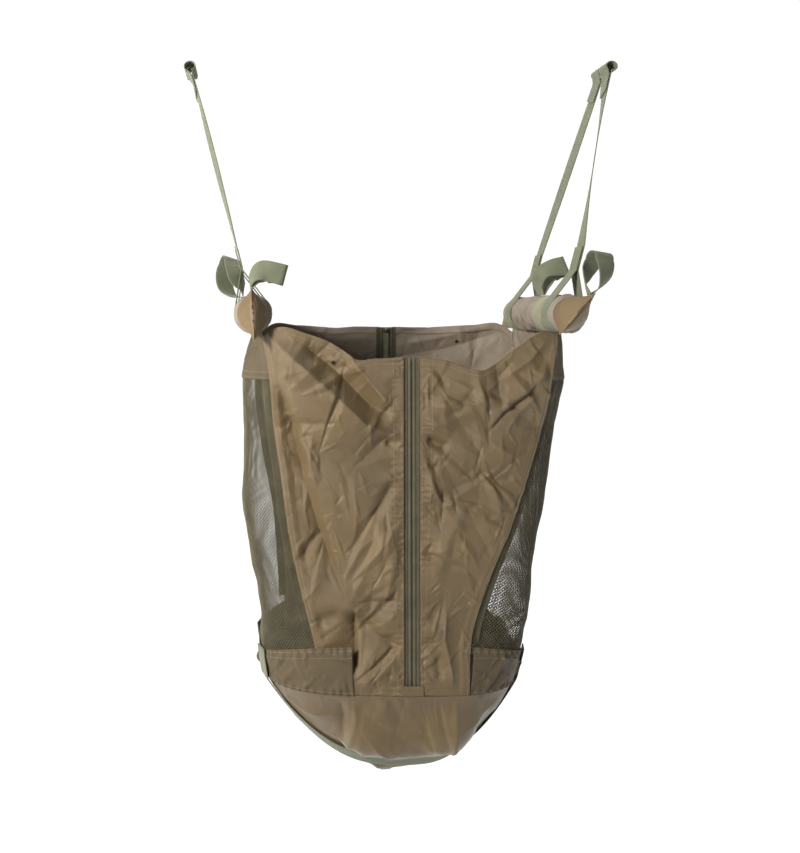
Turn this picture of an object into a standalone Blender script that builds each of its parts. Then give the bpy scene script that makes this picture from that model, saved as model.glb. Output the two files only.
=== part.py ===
"""A weigh sling: an open-topped nylon bag between two padded bars, each hung by two webbing straps.

The frame: X runs across the bag from the left bar to the right one, Y along the bars from the near end
to the far end, and Z up. The origin is level with the tips of the hang straps, midway between the bars.
Heights on the bag are measured as a drop below the bars' axes.
"""

from functools import lru_cache
from math import acos, atan2, cos, hypot, pi, radians, sin, sqrt

import bmesh
import bpy
import numpy as np
from mathutils import Matrix, Vector

NAME = "weigh_sling"
LEFT, RIGHT = -1, 1
NEAR, FAR = -1, 1
SIDE_WORDS = {LEFT: "left", RIGHT: "right"}
END_WORDS = {NEAR: "near", FAR: "far"}

# The whole sling
BAR_SPACING = 0.380
BAR_LENGTH = 0.200
BAR_DROP = 0.325
SEAM_DROP = 0.455
BELLY_DEPTH = 0.130
BELLY_POWER = 2.0
HALF_SPACING = BAR_SPACING / 2
HALF_BAR = BAR_LENGTH / 2

# Cloth and webbing
CLOTH = 0.0012
TAPE = 0.0008
WEB_WIDTH = 0.025
WEB_THICKNESS = 0.0015
GAP = 0.0003
LAY_GAP = 0.0006
SEAM_GAP = 0.0006

# The bag's level sections, from the bars down to the bottom seam
LEVEL_SHARES = (0.0, 0.058, 0.17, 0.276, 0.408, 0.51, 0.607, 0.7, 0.84, 0.93, 1.0)
WIDTH_SHARES = {
    LEFT: (0.98, 1.0, 1.08, 1.07, 1.055, 1.065, 1.04, 1.005, 0.955, 0.945, 0.92),
    RIGHT: (0.99, 1.0, 1.04, 1.02, 0.98, 0.94, 0.895, 0.855, 0.82, 0.78, 0.735),
}
DEPTH_LEVEL_SHARES = (0.0, 1.0)
DEPTH_SHARES = (1.05, 1.1)
CORNER_LEVEL_SHARES = (0.0, 0.06, 0.3, 1.0)
CORNER_POWER_SHARES = (8.0, 8.0, 3.6, 3.2)
RING_POINTS = 241

# Where the end panels meet the mesh, as shares of half the bar spacing
PANEL_LEVEL_SHARES = (0.044, 0.17, 0.28, 0.437, 0.57, 0.7, 0.84, 1.0)
PANEL_WIDTH_SHARES = {
    (LEFT, NEAR): (0.937, 0.884, 0.863, 0.81, 0.768, 0.705, 0.62, 0.53),
    (RIGHT, NEAR): (0.937, 0.89, 0.85, 0.735, 0.62, 0.48, 0.37, 0.35),
    (LEFT, FAR): (0.937, 0.935, 0.93, 0.871, 0.803, 0.773, 0.757, 0.757),
    (RIGHT, FAR): (0.937, 0.92, 0.90, 0.86, 0.81, 0.76, 0.70, 0.64),
}

# The top edge of each end panel: places as shares of half the spacing, drops as shares of the seam's
BRIM_PLACE_SHARES = (0.0, 0.19, 0.34, 0.42, 0.63, 0.84, 0.89, 0.937)
BRIM_DROP_SHARES = {
    (LEFT, NEAR): (0.114, 0.117, 0.117, 0.092, 0.052, 0.038, 0.049, 0.0585),
    (RIGHT, NEAR): (0.114, 0.123, 0.142, 0.148, 0.092, 0.045, 0.05, 0.0585),
    (LEFT, FAR): (0.04, 0.04, 0.044, 0.042, 0.036, 0.033, 0.045, 0.0585),
    (RIGHT, FAR): (0.04, 0.042, 0.042, 0.04, 0.035, 0.033, 0.045, 0.0585),
}

# The near panel's main fold runs from the left bar down and across, and leans out
FOLD_HEIGHT = 0.012
FOLD_WIDTH = 0.026
FOLD_START_SHARES = (0.9, 0.12)
FOLD_END_SHARES = (0.3, 0.32)

# The side walls
TOP_BAND_DROP = 0.078
SIDE_SEAM_RISE = 0.025
END_SEAM_RISE = 0.055
SIDE_SEAM_DROP = SEAM_DROP - SIDE_SEAM_RISE
END_SEAM_DROP = SEAM_DROP - END_SEAM_RISE
NET_COLUMNS = 11
NET_ROWS = 9
NET_MARGIN_SHARES = (0.046, 0.030)
NET_CORD_SHARES = (0.014, 0.014)
BAND_OVERLAP = 0.004
BAND_REACH = 0.070
MESH_TAPE_WIDTH = 0.012
HEM_HEIGHT = 0.010
HEM_REACH_SHARE = 0.93

# The bars
FOAM_RADIUS = 0.018
FOLD_CREST_RADIUS = 0.0245
FOLD_TROUGH_RADIUS = 0.0218
SEAT_RADIUS = 0.0213
SLEEVE_STEPS = 20
SEAT_LENGTH = WEB_WIDTH + 0.001
END_FOLD_LENGTH = 0.009
MIDDLE_FOLD_LENGTH = 0.008
LONG_FOLDS = 6
BAND_THICKNESS = 0.0015
CAP_RADIUS = 0.022
CAP_DEPTH = 0.030
CAP_SEAM_LENGTH = 0.064
CAP_SEAM_THICKNESS = 0.0024
CAP_ROLL = {LEFT: radians(-3), RIGHT: radians(41)}
CAP_STEPS = 20

# The hang straps
EYE_SPREAD = 0.083
EYE_RADIUS = 0.006
EYE_SETOFF = 0.0135
STRAP_SLACK = 0.0005
STRAP_LAYER_GAP = 0.0006
LAP_LOW = 0.055
LAP_HIGH = 0.085
TAIL_LENGTH = 0.025
STRAP_TWIST = {
    (LEFT, NEAR): radians(12),
    (LEFT, FAR): radians(12),
    (RIGHT, NEAR): radians(-20),
    (RIGHT, FAR): radians(4),
}

# The loops at the bars' near ends and middles: the route from the root and the width's direction,
# each along X, Z and Y, and half the opening, all as shares of the loop's reach
END, MIDDLE = "end", "middle"
LOOP_REACH = 0.050
LOOP_ROOT_WIDTH = {END: 0.012, MIDDLE: 0.022}
LOOP_ROOT_OPENING = 0.0013
LOOP_SETBACK = 0.013
LOOP_TURN_STEPS = 6
MIDDLE_LOOP_ROLL = {LEFT: radians(-32), RIGHT: radians(0)}
LOOP_ROUTE_SHARES = {
    (LEFT, END): ((0, 0, 0), (0.08, 0.2, 0), (0.26, 0.36, 0), (0.5, 0.36, -0.02), (0.7, 0.31, -0.05)),
    (LEFT, MIDDLE): ((0, 0, 0), (-0.14, 0.16, 0), (-0.3, 0.42, 0), (-0.34, 0.7, 0.05), (-0.32, 0.84, 0.1)),
    (RIGHT, END): ((0, 0, 0), (0.06, 0.22, 0), (0.14, 0.46, 0), (0.2, 0.68, 0), (0.22, 0.82, 0)),
    (RIGHT, MIDDLE): ((0, 0, 0), (0, 0.22, 0), (0.08, 0.46, 0), (0.3, 0.62, -0.02), (0.52, 0.7, -0.05)),
}
LOOP_WIDTH_WAYS = {
    (LEFT, END): ((0, 0, 1), (-0.5, 0.25, 0.83), (-0.25, 0.9, 0.35), (0.1, 1, 0), (0.3, 0.95, 0)),
    (LEFT, MIDDLE): ((0, 0, 1), (0.3, 0.1, 0.9), (0.6, 0.5, 0.6), (0.8, 0.3, 0.5), (0.85, 0.2, 0.45)),
    (RIGHT, END): ((0, 0, 1), (0.4, 0, 0.9), (0.75, -0.05, 0.65), (0.9, -0.1, 0.4), (0.95, -0.12, 0.3)),
    (RIGHT, MIDDLE): ((0, 0, 1), (-0.2, 0.1, 1), (-0.3, 0.5, 0.8), (0.1, 0.9, 0.4), (0.35, 0.9, 0.1)),
}
LOOP_OPENING_SHARES = {
    (LEFT, END): (0, 0.08, 0.12, 0.12, 0.1),
    (LEFT, MIDDLE): (0, 0.2, 0.3, 0.28, 0.18),
    (RIGHT, END): (0, 0.18, 0.25, 0.24, 0.18),
    (RIGHT, MIDDLE): (0, 0.12, 0.17, 0.14, 0.1),
}

# The zips, one in each end panel
ZIP_GAP = 0.019
ZIP_TAPE_REACH = 0.014
ZIP_TAPE_GAP = 0.0008
ZIP_TOP_CLEARANCE = 0.004
ZIP_END_RISE = 0.009
ZIP_END_DROP = SEAM_DROP - ZIP_END_RISE
COIL_WIDTH = 0.007
COIL_THICKNESS = 0.0022
STOP_WIDTH = 0.008
STOP_LENGTH = 0.005
STOP_THICKNESS = 0.0028
STOP_BEVEL = 0.0006
SLIDER_LENGTH = 0.015
SLIDER_PLATE = 0.0012
SLIDER_WALL = 0.0011
SLIDER_CLEARANCE = 0.0004
CROWN_WIDTH = 0.0030
CROWN_HOLE_LENGTH = 0.0034
CROWN_HOLE_HEIGHT = 0.0024
CROWN_WALL = 0.0013
PULL_LENGTH = 0.028
PULL_WIDTH = 0.0075
PULL_THICKNESS = 0.0012
PULL_BAR = 0.0016
PULL_WINDOW_WIDTH = 0.0042
PULL_WINDOW_LENGTH = 0.0060
PULL_CORNER = 0.0030

# The webbing girths under the bag and the drain holes in the bottom
GIRTH_SETOFF = 0.050
GIRTH_RISE = 0.037
GIRTH_TOP_DROP = SEAM_DROP - GIRTH_RISE
GIRTH_STEPS = 30
GIRTH_WALL_SHARES = (1.0, 0.5, 0.0)
HOLE_RADIUS = 0.0025
HOLE_STEPS = 10
HOLE_DEPTH = 0.040
HOLE_PLACE_SHARES = ((-0.42, -0.38), (0.0, -0.55), (0.42, -0.38), (-0.42, 0.38), (0.0, 0.55), (0.42, 0.38))

WEBBING = ("webbing", (0.27, 0.29, 0.18), 0.85, 0.0)
OLIVE = ("olive_nylon", (0.20, 0.14, 0.065), 0.5, 0.0)
NET = ("mesh_net", (0.11, 0.10, 0.06), 0.8, 0.0)
FOAM = ("foam", (0.05, 0.05, 0.05), 0.9, 0.0)
COIL = ("zip_coil", (0.22, 0.22, 0.13), 0.6, 0.0)
METAL = ("zip_metal", (0.12, 0.11, 0.09), 0.4, 0.9)


def clean_scene():
    for old in list(bpy.data.objects):
        bpy.data.objects.remove(old, do_unlink=True)


def collection_named(name):
    found = bpy.data.collections.new(name)
    bpy.context.scene.collection.children.link(found)
    return found


def material_of(look):
    name, colour, roughness, metallic = look
    found = bpy.data.materials.get(name)
    if found:
        return found
    made = bpy.data.materials.new(name)
    made.use_nodes = True
    shader = made.node_tree.nodes["Principled BSDF"]
    shader.inputs["Base Color"].default_value = (*colour, 1)
    shader.inputs["Roughness"].default_value = roughness
    shader.inputs["Metallic"].default_value = metallic
    return made


def keep(name, data, look, parent=None):
    piece = bpy.data.objects.new(name, data)
    PARTS.objects.link(piece)
    data.materials.append(material_of(look))
    piece.parent = parent
    return piece


def mesh_from(bm, smooth=True):
    bmesh.ops.recalc_face_normals(bm, faces=bm.faces[:])
    mesh = bpy.data.meshes.new("mesh")
    bm.to_mesh(mesh)
    bm.free()
    if smooth:
        mesh.shade_smooth()
        mesh.set_sharp_from_angle(angle=radians(40))
    return mesh


def empty_at(name, place, rotation=(0, 0, 0)):
    found = bpy.data.objects.new(name, None)
    PARTS.objects.link(found)
    found.location = place
    found.rotation_euler = rotation
    return found


def through(places, values, at):
    """A smooth curve through the values, with the slope of its neighbours at each place."""
    places = np.asarray(places, float)
    values = np.asarray(values, float)
    at = min(max(at, places[0]), places[-1])
    i = int(min(max(np.searchsorted(places, at) - 1, 0), len(places) - 2))
    slopes = np.gradient(values, places)
    span = places[i + 1] - places[i]
    t = (at - places[i]) / span
    rise = values[i + 1] - values[i]
    start = slopes[i] * span
    end = slopes[i + 1] * span
    return float(values[i] + t * start + t * t * (3 * rise - 2 * start - end) + t**3 * (start + end - 2 * rise))


def smooth_route(points, steps):
    """Points on a curve through vectors, with so many steps between each two."""
    count = len(points)
    places = list(range(count))
    at = np.linspace(0, count - 1, (count - 1) * steps + 1)
    return [Vector([through(places, [p[k] for p in points], a) for k in range(3)]) for a in at]


def eased(t):
    t = min(max(t, 0), 1)
    return t * t * (3 - 2 * t)


def mix(low, high, t):
    return low + (high - low) * t


def sheet(name, place, across, along, thickness, look, parent=None):
    """A cloth: a grid laid on place(u, v), thickened to both sides."""
    bm = bmesh.new()
    bmesh.ops.create_grid(bm, x_segments=across, y_segments=along, size=0.5)
    for v in bm.verts:
        v.co = place(v.co.x + 0.5, v.co.y + 0.5)
    piece = keep(name, mesh_from(bm), look, parent)
    skin = piece.modifiers.new("thickness", "SOLIDIFY")
    skin.thickness = thickness
    skin.offset = 0
    return piece


def strip_places(count, margin, cord):
    """Places from 0 to 1 across a net: a margin, then openings with cords between, then a margin."""
    opening = (1 - 2 * margin - (count - 1) * cord) / count
    places = [0]
    at = margin
    for _ in range(count):
        places += [at, at + opening]
        at += opening + cord
    return places + [1]


def net_sheet(name, place, look):
    """A net, drawn as a plain grid of openings with cords between them, laid on place(u, v)."""
    columns = strip_places(NET_COLUMNS, NET_MARGIN_SHARES[0], NET_CORD_SHARES[0])
    rows = strip_places(NET_ROWS, NET_MARGIN_SHARES[1], NET_CORD_SHARES[1])
    across, along = len(columns) - 1, len(rows) - 1
    bm = bmesh.new()
    bmesh.ops.create_grid(bm, x_segments=across, y_segments=along, size=0.5)
    openings = []
    for face in bm.faces:
        middle = face.calc_center_median()
        column, row = int((middle.x + 0.5) * across), int((middle.y + 0.5) * along)
        if column % 2 and row % 2:
            openings.append(face)
    bmesh.ops.delete(bm, geom=openings, context="FACES_ONLY")
    for v in bm.verts:
        v.co = place(columns[round((v.co.x + 0.5) * across)], rows[round((v.co.y + 0.5) * along)])
    piece = keep(name, mesh_from(bm), look)
    skin = piece.modifiers.new("thickness", "SOLIDIFY")
    skin.thickness = CLOTH
    skin.offset = 0
    return piece


def webbing(name, route, ways, widths, closed=False, parent=None):
    """A flat strap along a route, whose width lies along its ways."""
    count = len(route)
    bm = bmesh.new()
    bmesh.ops.create_grid(bm, x_segments=count if closed else count - 1, y_segments=1, size=0.5)
    for v in bm.verts:
        i = round((v.co.x + 0.5) * (count if closed else count - 1)) % count
        ahead = route[(i + 1) % count] if closed else route[min(i + 1, count - 1)]
        behind = route[i - 1] if closed else route[max(i - 1, 0)]
        run = (ahead - behind).normalized()
        way = Vector(ways[i])
        way = (way - way.dot(run) * run).normalized()
        v.co = route[i] + way * widths[i] * v.co.y
    if closed:
        bmesh.ops.remove_doubles(bm, verts=bm.verts[:], dist=GAP / 10)
    piece = keep(name, mesh_from(bm), WEBBING, parent)
    skin = piece.modifiers.new("thickness", "SOLIDIFY")
    skin.thickness = WEB_THICKNESS
    skin.offset = 0
    return piece


def turned(name, profile, steps, look, parent=None):
    """A closed profile of (radius, place) pairs turned about Z, then laid along Y."""
    bm = bmesh.new()
    corners = [bm.verts.new((r, 0, z)) for r, z in profile]
    for i, corner in enumerate(corners):
        bm.edges.new((corner, corners[(i + 1) % len(corners)]))
    mesh = bpy.data.meshes.new("mesh")
    bm.to_mesh(mesh)
    bm.free()
    piece = keep(name, mesh, look, parent)
    screw = piece.modifiers.new("turn", "SCREW")
    screw.steps = steps
    screw.render_steps = steps
    screw.use_merge_vertices = True
    screw.merge_threshold = GAP / 10
    screw.use_smooth_shade = True
    piece.rotation_euler = (pi / 2, 0, 0)
    return piece


def cutter(name, data, parent=None):
    piece = bpy.data.objects.new(name, data)
    CUTTERS.objects.link(piece)
    piece.hide_render = True
    piece.display_type = "WIRE"
    piece.parent = parent
    return piece


def combine(piece, other, operation):
    step = piece.modifiers.new(operation.lower(), "BOOLEAN")
    step.object = other
    step.operation = operation
    step.solver = "EXACT"


def block(size, bevel=0.0):
    bm = bmesh.new()
    bmesh.ops.create_cube(bm, size=1)
    bmesh.ops.scale(bm, vec=size, verts=bm.verts[:])
    if bevel:
        bmesh.ops.bevel(bm, geom=bm.edges[:], offset=bevel, segments=2, profile=0.5, affect="EDGES")
    return mesh_from(bm, smooth=False)


# The bag's surface


def level(side, drop):
    """One side's width, half the depth and the corner power of the bag at a drop below the bars."""
    share = drop / SEAM_DROP
    half_width = HALF_SPACING * through(LEVEL_SHARES, WIDTH_SHARES[side], share)
    half_depth = HALF_BAR * float(np.interp(share, DEPTH_LEVEL_SHARES, DEPTH_SHARES))
    power = float(np.interp(share, CORNER_LEVEL_SHARES, CORNER_POWER_SHARES))
    return half_width, half_depth, power


@lru_cache(maxsize=None)
def half_ring(side, drop):
    """Half of the bag's outline at a drop: lengths along it, X and Y, from near to far."""
    half_width, half_depth, power = level(side, drop)
    angle = np.linspace(-pi / 2, pi / 2, RING_POINTS)
    x = half_width * np.abs(np.cos(angle)) ** (2 / power)
    y = half_depth * np.sign(angle) * np.abs(np.sin(angle)) ** (2 / power)
    x[0] = x[-1] = 0
    lengths = np.concatenate([[0], np.cumsum(np.hypot(np.diff(x), np.diff(y)))])
    return lengths, x, y


def panel_edge(side, end, drop):
    """The length along the half ring where an end panel meets the side wall."""
    lengths, x, _ = half_ring(side, drop)
    middle = RING_POINTS // 2
    share = through(PANEL_LEVEL_SHARES, PANEL_WIDTH_SHARES[side, end], drop / SEAM_DROP)
    from_middle = float(np.interp(HALF_SPACING * share, x[: middle + 1], lengths[: middle + 1]))
    return from_middle if end == NEAR else lengths[-1] - from_middle


def on_wall(side, drop, length, out=0.0):
    """The point at a length round the half ring, set out from the cloth's middle surface."""
    lengths, x, y = half_ring(side, drop)
    here = [float(np.interp(length, lengths, k)) for k in (x, y)]
    step = lengths[-1] / RING_POINTS
    ahead = [float(np.interp(length + step, lengths, k)) for k in (x, y)]
    behind = [float(np.interp(length - step, lengths, k)) for k in (x, y)]
    run = Vector((ahead[0] - behind[0], ahead[1] - behind[1])).normalized()
    place = Vector(here) + out * Vector((run.y, -run.x))
    return Vector((side * place.x, place.y, -BAR_DROP - drop))


def main_fold(side, end, drop, length):
    """How far the near panel's left half leans out along its long slanting fold."""
    if (side, end) != (LEFT, NEAR):
        return 0.0
    start = Vector((FOLD_START_SHARES[0] * HALF_SPACING, FOLD_START_SHARES[1] * SEAM_DROP))
    finish = Vector((FOLD_END_SHARES[0] * HALF_SPACING, FOLD_END_SHARES[1] * SEAM_DROP))
    along = finish - start
    here = Vector((length, drop)) - start
    t = min(max(here.dot(along) / along.length_squared, 0), 1)
    away = (here - t * along).length
    return FOLD_HEIGHT * sin(pi * t) * float(np.exp(-((away / FOLD_WIDTH) ** 2)))


def brim_drop(side, end, place_share):
    return SEAM_DROP * through(BRIM_PLACE_SHARES, BRIM_DROP_SHARES[side, end], place_share)


def panel_place(side, end, out, low_drop=None, height=None, reach=1.0):
    """Places on an end panel: u runs from the zip to the mesh and v from the brim down."""

    def place(u, v):
        u = u * reach
        top = brim_drop(side, end, u * BRIM_PLACE_SHARES[-1])
        bottom = top + height if height else low_drop
        drop = mix(top, bottom, v)
        total = half_ring(side, drop)[0][-1]
        edge = panel_edge(side, end, drop)
        from_zip = edge if end == NEAR else total - edge
        offset = mix(ZIP_GAP / 2, from_zip - SEAM_GAP, u)
        length = offset if end == NEAR else total - offset
        return on_wall(side, drop, length, out + main_fold(side, end, drop, offset))

    return place


def side_seam_drop(side, drop_guess, length):
    """The seam under the mesh, lowest at the middle of the side and higher towards the ends."""
    lengths, _, y = half_ring(side, drop_guess)
    share = float(np.interp(length, lengths, y)) / y[-1]
    return mix(SIDE_SEAM_DROP, END_SEAM_DROP, min(share * share, 1))


def side_place(side, top_drop, out, bottom_drop=None):
    """Places on a side wall, from the near panel's edge round to the far panel's."""

    def place(u, v):
        guess = mix(panel_edge(side, NEAR, END_SEAM_DROP), panel_edge(side, FAR, END_SEAM_DROP), u)
        bottom = bottom_drop or side_seam_drop(side, END_SEAM_DROP, guess)
        drop = mix(top_drop, bottom, v)
        near = panel_edge(side, NEAR, drop) + SEAM_GAP
        far = panel_edge(side, FAR, drop) - SEAM_GAP
        return on_wall(side, drop, mix(near, far, u), out)

    return place


def in_belly(x, y):
    """How far out a point lies in the bottom's outline: 0 in the middle and 1 at the seam."""
    half_width, half_depth, power = level(RIGHT if x > 0 else LEFT, SEAM_DROP)
    return ((abs(x) / half_width) ** power + (abs(y) / half_depth) ** power) ** (1 / power)


def belly_drop(share):
    return SEAM_DROP + LAY_GAP + BELLY_DEPTH * (1 - share**BELLY_POWER)


def on_belly(u, v):
    """A square grid's point laid on the rounded bottom."""
    a = 2 * u - 1
    b = 2 * v - 1
    p = a * sqrt(1 - b * b / 2)
    q = b * sqrt(1 - a * a / 2)
    share = sin(min(hypot(p, q), 1) * pi / 2)
    angle = atan2(q, p)
    reach = 1 / in_belly(cos(angle), sin(angle))
    return Vector((share * reach * cos(angle), share * reach * sin(angle), -BAR_DROP - belly_drop(share)))


# The bag


def make_end_panels():
    for (side, end) in BRIM_DROP_SHARES:
        words = f"{END_WORDS[end]}_{{}}_{SIDE_WORDS[side]}"
        body = panel_place(side, end, 0, low_drop=SEAM_DROP)
        sheet(words.format("panel"), body, 10, 16, CLOTH, OLIVE)
        hem = panel_place(side, end, CLOTH + LAY_GAP, height=HEM_HEIGHT, reach=HEM_REACH_SHARE)
        sheet(words.format("hem"), hem, 10, 1, CLOTH, OLIVE)


def make_side_walls(side):
    word = SIDE_WORDS[side]
    top = FOLD_CREST_RADIUS + GAP
    sheet(f"{word}_top_band", side_place(side, top, 0, TOP_BAND_DROP - GAP), 12, 3, CLOTH, OLIVE)
    net_sheet(f"{word}_mesh_wall", side_place(side, TOP_BAND_DROP + GAP, 0), NET)
    for end in (NEAR, FAR):
        make_mesh_tape(side, end)


def make_mesh_tape(side, end):
    """The binding inside the seam between mesh and end panel."""

    def place(u, v):
        drop = mix(TOP_BAND_DROP, END_SEAM_DROP - BAND_OVERLAP, v)
        inward = MESH_TAPE_WIDTH * (0.1 + u)
        length = panel_edge(side, end, drop) - end * inward
        return on_wall(side, drop, length, -CLOTH / 2 - TAPE / 2 - 2 * LAY_GAP)

    sheet(f"{SIDE_WORDS[side]}_{END_WORDS[end]}_mesh_tape", place, 2, 14, TAPE, WEBBING)


def make_lower_band(side):
    """The cloth band below the mesh, which laps round onto both end panels."""

    def place(u, v):
        total = half_ring(side, SEAM_DROP)[0][-1]
        length = mix(BAND_REACH, total - BAND_REACH, u)
        top = side_seam_drop(side, SEAM_DROP, length) - BAND_OVERLAP
        drop = mix(top, SEAM_DROP, v)
        scale = half_ring(side, drop)[0][-1] / total
        return on_wall(side, drop, length * scale, CLOTH + LAY_GAP)

    sheet(f"{SIDE_WORDS[side]}_lower_band", place, 26, 3, CLOTH, OLIVE)


def make_bottom():
    bottom = sheet("bottom_panel", on_belly, 14, 12, CLOTH, OLIVE)
    for number, (x_share, y_share) in enumerate(HOLE_PLACE_SHARES, 1):
        half_width, half_depth, _ = level(RIGHT if x_share > 0 else LEFT, SEAM_DROP)
        bm = bmesh.new()
        bmesh.ops.create_cone(
            bm, cap_ends=True, segments=HOLE_STEPS, radius1=HOLE_RADIUS, radius2=HOLE_RADIUS, depth=HOLE_DEPTH
        )
        punch = cutter(f"drain_punch_{number}", mesh_from(bm))
        x, y = x_share * half_width, y_share * half_depth
        punch.location = (x, y, -BAR_DROP - belly_drop(in_belly(x, y)))
        combine(bottom, punch, "DIFFERENCE")


def wall_reach(side, drop, y):
    """How far out the wall stands at a drop, beside a place along the bag."""
    half_width, half_depth, power = level(side, drop)
    return half_width * (1 - (abs(y) / half_depth) ** power) ** (1 / power)


def belly_facing(x, y):
    """The bottom's outward direction at a point."""
    slopes = [
        (belly_drop(in_belly(x + dx, y + dy)) - belly_drop(in_belly(x - dx, y - dy))) / (2 * GAP)
        for dx, dy in ((GAP, 0), (0, GAP))
    ]
    return Vector((-slopes[0], -slopes[1], -1)).normalized()


def make_girths():
    """Two webbing straps that run down one side, under the bag and up the other side."""
    over_band = 2 * CLOTH + 2 * LAY_GAP + WEB_THICKNESS / 2
    over_belly = 2 * CLOTH + LAY_GAP
    for end in (NEAR, FAR):
        y = end * GIRTH_SETOFF
        route = []
        ways = []
        for i in range(GIRTH_STEPS + 1):
            angle = pi * i / GIRTH_STEPS
            x = wall_reach(RIGHT if cos(angle) > 0 else LEFT, SEAM_DROP, y) * cos(angle)
            facing = belly_facing(x, y)
            spot = Vector((x, y, -BAR_DROP - belly_drop(in_belly(x, y))))
            route.append(spot + over_belly * facing)
            ways.append(facing.cross(Vector((0, 1, 0)).cross(facing)))
        for side, at_start in ((RIGHT, True), (LEFT, False)):
            for share in GIRTH_WALL_SHARES:
                drop = mix(GIRTH_TOP_DROP, SEAM_DROP, share)
                nearer, farther = [wall_reach(side, drop, y + move) for move in (-WEB_WIDTH / 2, WEB_WIDTH / 2)]
                way = Vector((side * (farther - nearer), WEB_WIDTH, 0))
                x = side * (wall_reach(side, drop, y) + over_band * way.length / WEB_WIDTH)
                route.insert(0 if at_start else len(route), Vector((x, y, -BAR_DROP - drop)))
                ways.insert(0 if at_start else len(ways), way)
        webbing(f"{END_WORDS[end]}_girth", route, ways, [WEB_WIDTH] * len(route))


# The zips


def make_zip(end):
    word = END_WORDS[end]
    top_drop = brim_drop(LEFT, end, 0) + ZIP_TOP_CLEARANCE
    low_y = level(LEFT, ZIP_END_DROP)[1]
    top_y = level(LEFT, top_drop)[1]
    length = hypot(ZIP_END_DROP - top_drop, low_y - top_y)
    lean = atan2(low_y - top_y, ZIP_END_DROP - top_drop)
    tape_out = -(CLOTH / 2 + ZIP_TAPE_GAP + TAPE / 2)
    # In the line's own axes Z runs up the zip and +Y points into the bag
    line = empty_at(f"{word}_zip_line", (0, end * low_y, -BAR_DROP - ZIP_END_DROP))
    line.rotation_euler = (-lean, 0, 0) if end == NEAR else (-lean, 0, pi)
    for side in (LEFT, RIGHT):
        low = side * GAP if side == RIGHT else side * ZIP_TAPE_REACH
        high = side * ZIP_TAPE_REACH if side == RIGHT else side * GAP

        def place(u, v, low=low, high=high):
            return Vector((mix(low, high, u), -tape_out, mix(0, length, v)))

        tape_side = side if end == NEAR else -side
        sheet(f"{word}_zip_tape_{SIDE_WORDS[tape_side]}", place, 1, 1, TAPE, WEBBING, line)
    coil_depth = -tape_out + TAPE / 2 + GAP + COIL_THICKNESS / 2
    coil_low = STOP_LENGTH + GAP
    coil_high = length - STOP_LENGTH - GAP
    coil = keep(f"{word}_zip_coil", block((COIL_WIDTH, COIL_THICKNESS, coil_high - coil_low)), COIL, line)
    coil.location = (0, coil_depth, (coil_low + coil_high) / 2)
    for name, height in (("end_stop", STOP_LENGTH / 2), ("top_stop", length - STOP_LENGTH / 2)):
        stop_mesh = block((STOP_WIDTH, STOP_THICKNESS, STOP_LENGTH), STOP_BEVEL)
        stop = keep(f"{word}_zip_{name}", stop_mesh, METAL, line)
        stop.location = (0, -tape_out + TAPE / 2 + GAP + STOP_THICKNESS / 2, height)
    make_slider(word, line, coil_depth, coil_low)


def make_slider(word, line, coil_depth, coil_low):
    """The slider straddles the coil inside the bag, with a pull tab on its crown."""
    slide = empty_at(f"{word}_slider_place", (0, coil_depth, coil_low + SLIDER_LENGTH / 2))
    slide.parent = line
    inner = COIL_WIDTH / 2 + SLIDER_CLEARANCE
    outer = inner + SLIDER_WALL
    face = COIL_THICKNESS / 2 + SLIDER_CLEARANCE
    back = face + SLIDER_PLATE
    foot = -COIL_THICKNESS / 2
    outline = [
        (-outer, foot), (-inner, foot), (-inner, face), (inner, face),
        (inner, foot), (outer, foot), (outer, back), (-outer, back),
    ]
    shell = bpy.data.curves.new("channel", "CURVE")
    shell.dimensions = "2D"
    shell.fill_mode = "BOTH"
    shell.extrude = SLIDER_LENGTH / 2
    spline = shell.splines.new("POLY")
    spline.points.add(len(outline) - 1)
    spline.use_cyclic_u = True
    for point, (x, y) in zip(spline.points, outline):
        point.co = (x, y, 0, 1)
    piece = keep(f"{word}_zip_slider", solid_of(shell), METAL, slide)
    crown_length = CROWN_HOLE_LENGTH + 2 * CROWN_WALL
    crown_height = CROWN_HOLE_HEIGHT + CROWN_WALL + SLIDER_PLATE / 2
    crown = cutter(f"{word}_crown", block((CROWN_WIDTH, crown_height, crown_length)), slide)
    crown.location = (0, back - SLIDER_PLATE / 2 + crown_height / 2, 0)
    combine(piece, crown, "UNION")
    eye = cutter(f"{word}_crown_eye", block((outer, CROWN_HOLE_HEIGHT, CROWN_HOLE_LENGTH)), slide)
    eye.location = (0, back + CROWN_HOLE_HEIGHT / 2, 0)
    combine(piece, eye, "DIFFERENCE")
    make_pull(word, slide, back + CROWN_HOLE_HEIGHT / 2)


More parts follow.
